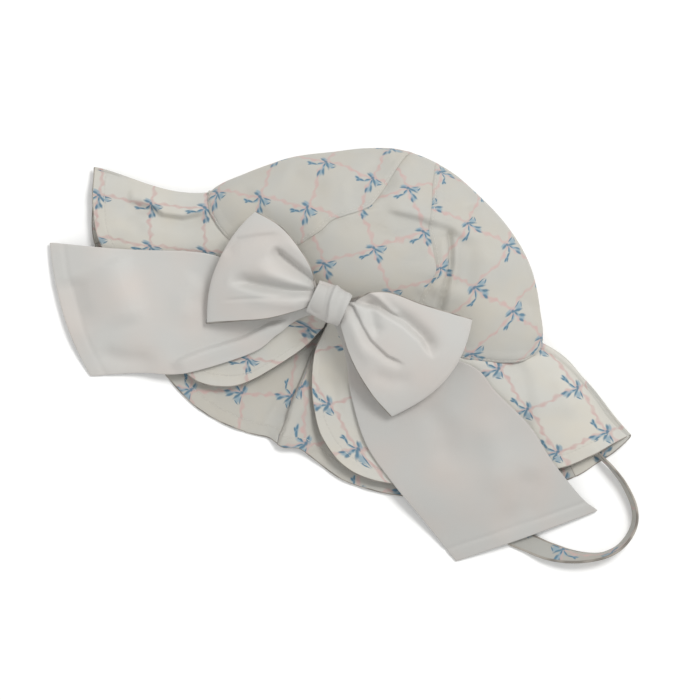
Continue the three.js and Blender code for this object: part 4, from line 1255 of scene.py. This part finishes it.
def tail_surface(rows, bulge, outwards):
    """A tail's places, with its folds and the hem at its end."""
    count, across = TAIL_GRID
    u, v = np.meshgrid(np.linspace(0, 1, across), np.linspace(0, 1, count))
    points = tail_points(rows, bulge, u, v)
    if outwards > 0:
        points = points[:, ::-1]
    x, y = points[..., 0], points[..., 1]
    relief = uneven(x, y, TAIL_UNEVEN) + crease_height(x, y, TAIL_CREASES)
    from_end = edge_distances(points)[3]
    relief += TAIL_HEM_RISE * smooth_step(TAIL_HEM + 1, TAIL_HEM - 1, from_end)
    relief -= TAIL_GROOVE * hill(from_end - TAIL_HEM, TAIL_GROOVE_WIDTH)
    return raised(points, grid_normals(points), relief)


class SUNHAT_OT_bow(bpy.types.Operator):
    """Tie the bow: two puffed loops, the band round its middle and two wide tails"""

    bl_idname = "sunhat.bow"
    bl_label = "Bow"

    def execute(self, context):
        thickness = context.scene.sun_hat.sizes.ribbon / MM
        self.loops(thickness, cloth_and_shaded_edge(context, "cotton_sateen_ribbon"))
        for name in TAILS:
            self.tail(context, name, thickness)
        # The knot takes the ribbon with painted shade.
        self.knot(thickness, cloth_and_shaded_edge(context, "cotton_sateen_ribbon_painted_shade"))
        return {"FINISHED"}

    def loops(self, thickness, materials):
        """The two loops, open tubes of ribbon whose roots the knot holds."""
        for name, form in LOOPS.items():
            points = loop_surface(*form)
            dress(cloth_wall(name + "_cloth", points, ribbon_uv(points), thickness, materials),
                  name)

    def tail(self, context, name, thickness):
        """One tail, a flat length of ribbon that lies on the back flaps."""
        points = tail_surface(*TAILS[name])
        length = edge_distances(points)[2][-1].mean() * MM
        # The right tail takes the ribbon with painted shade.
        shade_suffix = "_painted_shade" if name == "bow_tail_right" else ""
        materials = [shared_material(context, "cotton_sateen_ribbon" + shade_suffix)] * 2
        tail = dress(cloth_wall(name + "_cloth", points, ribbon_uv(points), thickness, materials),
                     name)

    def knot(self, thickness, materials):
        """The band is a closed ring, so its wall is made from two full turns of points."""
        u, v = np.meshgrid(np.linspace(0, 1, KNOT_ACROSS), np.linspace(1, 0, KNOT_ROUND + 1)[:-1])
        outer = knot_points(u, v)
        normals = grid_normals(np.concatenate([outer[-2:], outer, outer[:2]]))[2:-2]
        inner = outer - normals * thickness
        x, y = outer[..., 0], outer[..., 1]
        relief = crease_height(x, y, KNOT_CREASES) * smooth_step(0.15, 0.6, normals[..., 2])
        outer = raised(outer, normals, relief)
        rows, columns = outer.shape[:2]
        count = rows * columns
        number = np.arange(count).reshape(rows, columns)
        above = np.roll(number, -1, axis=0)
        face = np.stack([number[:, :-1], number[:, 1:], above[:, 1:], above[:, :-1]], -1)
        quads = [face.reshape(-1, 4), face[..., ::-1].reshape(-1, 4) + count]
        for start, end in ((number[:, 0], above[:, 0]), (above[:, -1], number[:, -1])):
            quads.append(np.stack([start, end, end + count, start + count], -1))
        points = np.concatenate([outer.reshape(-1, 3), inner.reshape(-1, 3)])
        uv = stack(u * (KNOT_TO_X - KNOT_FROM_X), v * KNOT_GIRTH)
        uv = np.tile(uv.reshape(-1, 2), (2, 1))
        dress(build_mesh("bow_knot_cloth", points, np.concatenate(quads).tolist(), uv, materials,
                         2 * rows), "bow_knot")


# ---- the chin strap ----
STRAP_PLACES = 421  # along its route
STRAP_SIDES = 28  # round its section
STRAP_EDGE = 1.6  # mm, the depth of its sewn edges
STRAP_SEAM = 1.8  # mm in from each edge, where it is sewn
STRAP_GROOVE, STRAP_GROOVE_WIDTH = 0.18, 0.6  # share of its thickness, and mm to each side
STRAP_PRINT_TURN = 0.6  # radians that the print is turned on it


def strap_line():
    """The strap's centre, and its ways across and up, at close places on its route."""
    stops = stack(STRAP_ROUTE["x"], STRAP_ROUTE["y"], STRAP_ROUTE["z"])
    share = np.linspace(0, 1, STRAP_PLACES)
    spans = np.linalg.norm(np.diff(stops, axis=0), axis=-1) ** 0.5
    knots = np.concatenate([[0], np.cumsum(spans)])
    rows = {"knot": knots, "x": stops[:, 0], "y": stops[:, 1], "z": stops[:, 2],
            "tilt": STRAP_ROUTE["tilt"]}
    place = share * knots[-1]
    centre = stack(*(read_table(rows, "knot", axis, place) for axis in "xyz"))
    tilt = np.radians(read_table(rows, "knot", "tilt", place))[:, None]
    along = unit(np.gradient(centre, axis=0))
    level = unit(stack(along[:, 1], -along[:, 0], np.zeros(len(along))))
    upright = np.cross(along, level)
    wide = level * np.cos(tilt) + upright * np.sin(tilt)
    high = unit(np.cross(wide, along))
    return centre, wide, high


def strap_section():
    """The strap's section: flat, with rounded edges and a groove where each is sewn."""
    turn = np.linspace(0, 2 * pi, STRAP_SIDES + 1)[:-1]
    half, thick = STRAP_WIDTH / 2, STRAP_THICKNESS / 2
    # The powers below 1 make the section squarer than an ellipse.
    across = half * np.sign(np.cos(turn)) * np.abs(np.cos(turn)) ** 0.5
    up = thick * np.sign(np.sin(turn)) * np.abs(np.sin(turn)) ** 0.6
    seam = hill(np.abs(across) - half + STRAP_SEAM, STRAP_GROOVE_WIDTH)
    return across, up * (1 - STRAP_GROOVE * seam)


class SUNHAT_OT_chin_strap(bpy.types.Operator):
    """Run the chin strap along its route, as a flat tube of cloth with sewn edges"""

    bl_idname = "sunhat.chin_strap"
    bl_label = "Chin strap"

    def execute(self, context):
        centre, wide, high = strap_line()
        across, up = strap_section()
        from_mouth = np.hypot(centre[:, 0] - STRAP_MOUTH[0], centre[:, 1] - STRAP_MOUTH[1])
        wide = wide * (1 - STRAP_PINCH * hill(from_mouth, STRAP_PINCH_REACH))[:, None]
        points = (centre[:, None] + wide[:, None] * across[None, :, None]
                  + high[:, None] * up[None, :, None])
        rows, columns = points.shape[:2]
        number = np.arange(rows * columns).reshape(rows, columns)
        beside = np.roll(number, -1, axis=1)
        quads = np.stack([number[:-1], number[1:], beside[1:], beside[:-1]], -1).reshape(-1, 4)
        caps = [number[0].tolist(), number[-1, ::-1].tolist()]
        steps = np.linalg.norm(np.diff(centre, axis=0), axis=-1)
        run = np.concatenate([[0], np.cumsum(steps)])
        uv = stack(run[:, None], across[None, :]).reshape(-1, 2)
        turn = STRAP_PRINT_TURN
        uv = uv @ np.array([[cos(turn), sin(turn)], [-sin(turn), cos(turn)]])
        # The faces of the sewn edges come last, for build_mesh, which gives them the edge colour of
        # painted shade.
        narrow = np.abs(across + np.roll(across, -1)) / 2 > STRAP_WIDTH / 2 - STRAP_EDGE
        order = np.argsort(np.tile(narrow, rows - 1), kind="stable")
        faces = caps + quads[order].tolist()
        materials = cloth_and_shaded_edge(context, "printed_cotton_lawn_shaded")
        strap = build_mesh("chin_strap_cloth", points.reshape(-1, 3), faces, uv, materials,
                           int(narrow.sum()) * (rows - 1))
        dress(strap, "chin_strap")
        return {"FINISHED"}


# ---- the stage ----
VIEW_MIDDLE = (6.5, -53.0)  # mm, the place that the camera looks down on
VIEW_WIDTH = 434.0  # mm across at the height of the cloth
VIEW_LEVEL = 0.02  # m, that height
CAMERA_HEIGHT = 1.5  # m above it
CAMERA_TURN = 24.8  # degrees that the hat is turned in the view
FLOOR_HALF, FLOOR_DROP = 4.0, 2e-4  # m: half its width, and how far it lies under the hat
LIGHT_AIM = (0.0, -0.03, 0.02)
# The lamps' names, places and widths in m, and power in W.
LAMPS = (("key", (0.3, 0.75, 1.45), 0.45, 16.0), ("fill", (-0.8, -0.9, 1.4), 1.6, 3.0))
SKY_STRENGTH = 0.68


class SUNHAT_OT_stage(bpy.types.Operator):
    """Lay down the floor and set up the soft light and the camera"""

    bl_idname = "sunhat.stage"
    bl_label = "Floor, light and camera"

    def execute(self, context):
        scene = context.scene
        mesh = bpy.data.meshes.new("floor")
        corners = [(x * FLOOR_HALF, y * FLOOR_HALF, -FLOOR_DROP)
                   for x, y in ((-1, -1), (1, -1), (1, 1), (-1, 1))]
        mesh.from_pydata(corners, [], [(0, 1, 2, 3)])
        mesh.materials.append(shared_material(context, "pale_paper"))
        floor = bpy.data.objects.new("floor", mesh)
        scene.collection.objects.link(floor)
        self.camera(scene)
        self.lights(scene)
        scene.view_settings.view_transform = "Standard"
        return {"FINISHED"}

    def camera(self, scene):
        """A camera straight above, turned so that the hat lies askew."""
        data = bpy.data.cameras.new("camera")
        data.lens_unit = "FOV"
        data.angle = 2 * atan2(VIEW_WIDTH * MM / 2, CAMERA_HEIGHT)
        camera = bpy.data.objects.new("camera", data)
        x, y = VIEW_MIDDLE
        camera.location = (x * MM, y * MM, CAMERA_HEIGHT + VIEW_LEVEL)
        camera.rotation_euler = (0, 0, radians(CAMERA_TURN))
        scene.collection.objects.link(camera)
        scene.camera = camera

    def lights(self, scene):
        """A lamp that draws the shadows, a wide weak one opposite, and an even white sky."""
        for name, place, size, power in LAMPS:
            data = bpy.data.lights.new(name, "AREA")
            data.size = size
            data.energy = power
            lamp = bpy.data.objects.new(name, data)
            lamp.location = place
            way = Vector(LIGHT_AIM) - Vector(place)
            lamp.rotation_euler = way.to_track_quat("-Z", "Y").to_euler()
            scene.collection.objects.link(lamp)
        world = bpy.data.worlds.new("studio")
        world.use_nodes = True
        sky = world.node_tree.nodes["Background"]
        sky.inputs["Color"].default_value = (1, 1, 1, 1)
        sky.inputs["Strength"].default_value = SKY_STRENGTH
        scene.world = world


# ---- topstitching ----
THREAD_RADIUS = 0.24  # mm
STITCH_SHARE = 0.74  # of each stitch's length that lies on top of the cloth
STITCH_START = 0.13  # share of it before the thread comes up
STITCH_RISE, STITCH_SINK = 0.3, 0.2  # mm that its middle stands up and its ends go down
STITCH_END = 0.08  # share of a full arch that is cut off at each end of the thread
STITCH_RINGS, STITCH_SIDES = 6, 6
STITCHED_ROWS = 136  # rows of a crown panel that its side seam's stitching runs over
HEM_END_COLUMNS = 18  # columns at each end of a hem that its stitching leaves free


def line_at(points, normals, distance, along_rows):
    """The line that runs a distance in from a grid's start (along_rows) or left edge."""
    if not along_rows:
        points, normals = points.transpose(1, 0, 2), normals.transpose(1, 0, 2)
    steps = np.linalg.norm(np.diff(points, axis=0), axis=-1)
    depth = np.pad(np.cumsum(steps, axis=0), ((1, 0), (0, 0)))
    places, ways = [], []
    for column in range(points.shape[1]):
        row = np.interp(distance, depth[:, column], np.arange(points.shape[0]))
        low = min(int(row), points.shape[0] - 2)
        share = row - low
        places.append(points[low, column] * (1 - share) + points[low + 1, column] * share)
        ways.append(normals[low, column])
    return np.array(places), np.array(ways)


def stitches(places, ways, pitch):
    """Short arched capsules of thread along a line: their points and faces."""
    run = np.concatenate([[0], np.cumsum(np.linalg.norm(np.diff(places, axis=0), axis=-1))])
    count = int(run[-1] / pitch)
    share = np.linspace(0, 1, STITCH_RINGS)
    spot = np.arange(count)[:, None] + share[None, :] * STITCH_SHARE + STITCH_START
    spot = spot * pitch
    centre = stack(*(np.interp(spot, run, places[:, axis]) for axis in range(3)))
    up = unit(stack(*(np.interp(spot, run, ways[:, axis]) for axis in range(3))))
    along = unit(np.gradient(centre, axis=1))
    beside = unit(np.cross(up, along))
    bulge = np.sin(pi * (STITCH_END + (1 - 2 * STITCH_END) * share)) ** 0.5
    centre = centre + up * (STITCH_RISE * bulge - STITCH_SINK)[None, :, None]
    turn = np.linspace(0, 2 * pi, STITCH_SIDES + 1)[:-1]
    radius = (THREAD_RADIUS * bulge)[None, :, None, None]
    points = (centre[:, :, None] + radius * (beside[:, :, None] * np.cos(turn)[:, None]
                                             + up[:, :, None] * np.sin(turn)[:, None]))
    points = points.reshape(-1, 3)
    number = np.arange(len(points)).reshape(count, STITCH_RINGS, STITCH_SIDES)
    near, far = number[:, :-1], number[:, 1:]
    quads = np.stack([near, far, np.roll(far, -1, -1), np.roll(near, -1, -1)], -1).reshape(-1, 4)
    faces = quads.tolist() + number[:, 0].tolist() + number[:, -1, ::-1].tolist()
    return points, faces, stack(spot[..., None], turn).reshape(-1, 2)


def seam_lines():
    """The stitching beside the crown's base seam and its two back seams."""
    lines = []
    for name in ("crown_gore_left", "crown_gore_back", "crown_gore_right"):
        points, normals, _ = gore_surface(name)
        lines.append(line_at(points, normals, STITCH_ROW, True))
        points, normals = points[:STITCHED_ROWS], normals[:STITCHED_ROWS]
        if name == "crown_gore_right":
            lines.append(line_at(points, normals, STITCH_ROW, False))
        if name == "crown_gore_left":
            lines.append(line_at(points[:, ::-1], normals[:, ::-1], STITCH_ROW, False))
    return lines


def hem_lines(hem, cloth):
    """The stitching along the brim's hem, on the inner side of the front brim."""
    lines = []
    inner = slice(HEM_END_COLUMNS, -HEM_END_COLUMNS)
    for name in BRIM_PARTS:
        points, normals, _ = brim_surface(name, hem)
        if name == "brim_front":
            points, normals = points - normals * cloth, -normals
        lines.append(line_at(points[::-1, inner], normals[::-1, inner], hem - HEM_STITCH_IN,
                             True))
    return lines


class SUNHAT_OT_topstitching(bpy.types.Operator):
    """Sew the lines of topstitching along the hem and the seams"""

    bl_idname = "sunhat.topstitching"
    bl_label = "Topstitching"

    def execute(self, context):
        sizes = context.scene.sun_hat.sizes
        lines = seam_lines() + hem_lines(sizes.hem / MM, sizes.cloth / MM)
        all_points, all_faces, all_uv = [], [], []
        count = 0
        for places, ways in lines:
            points, faces, uv = stitches(places, ways, sizes.stitch / MM)
            all_faces += [[corner + count for corner in face] for face in faces]
            all_points.append(points)
            all_uv.append(uv)
            count += len(points)
        points = np.concatenate(all_points)
        points[:, 2] = np.maximum(points[:, 2], 0)
        thread = build_mesh("topstitching", points, all_faces, np.concatenate(all_uv),
                            [shared_material(context, "sewing_thread")])
        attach(thread, "root")
        return {"FINISHED"}


# ---- add-on ----
class SUNHAT_PT_panel(bpy.types.Panel):
    """The sun hat's pieces and settings"""

    bl_idname = "SUNHAT_PT_panel"
    bl_label = "Sun Hat"
    bl_space_type = "VIEW_3D"
    bl_region_type = "UI"
    bl_category = "Sun Hat"

    def draw(self, context):
        layout = self.layout
        settings = context.scene.sun_hat
        for group in (settings.sizes, settings.colours):
            box = layout.box()
            for name in group.__annotations__:
                box.prop(group, name)
        for operator in OPERATORS:
            layout.operator(operator.bl_idname)


OPERATORS = (
    SUNHAT_OT_stage,
    SUNHAT_OT_chin_strap,
    SUNHAT_OT_crown,
    SUNHAT_OT_brim,
    SUNHAT_OT_bow,
    SUNHAT_OT_topstitching,
)
CLASSES = (SunHatSizes, SunHatColours, SunHatSettings, *OPERATORS, SUNHAT_PT_panel)


def register():
    """Adds the hat's classes and settings to Blender."""
    for cls in CLASSES:
        bpy.utils.register_class(cls)
    bpy.types.Scene.sun_hat = PointerProperty(type=SunHatSettings, name="Sun hat",
                                              description="Sizes and colours of the hat")


def unregister():
    """Takes them out again."""
    del bpy.types.Scene.sun_hat
    for cls in reversed(CLASSES):
        bpy.utils.unregister_class(cls)


def main():
    """Builds the stage and every piece of the hat."""
    register()
    bpy.ops.sunhat.stage()
    bpy.ops.sunhat.chin_strap()
    bpy.ops.sunhat.crown()
    bpy.ops.sunhat.brim()
    bpy.ops.sunhat.bow()
    bpy.ops.sunhat.topstitching()


if __name__ == "__main__":
    main()
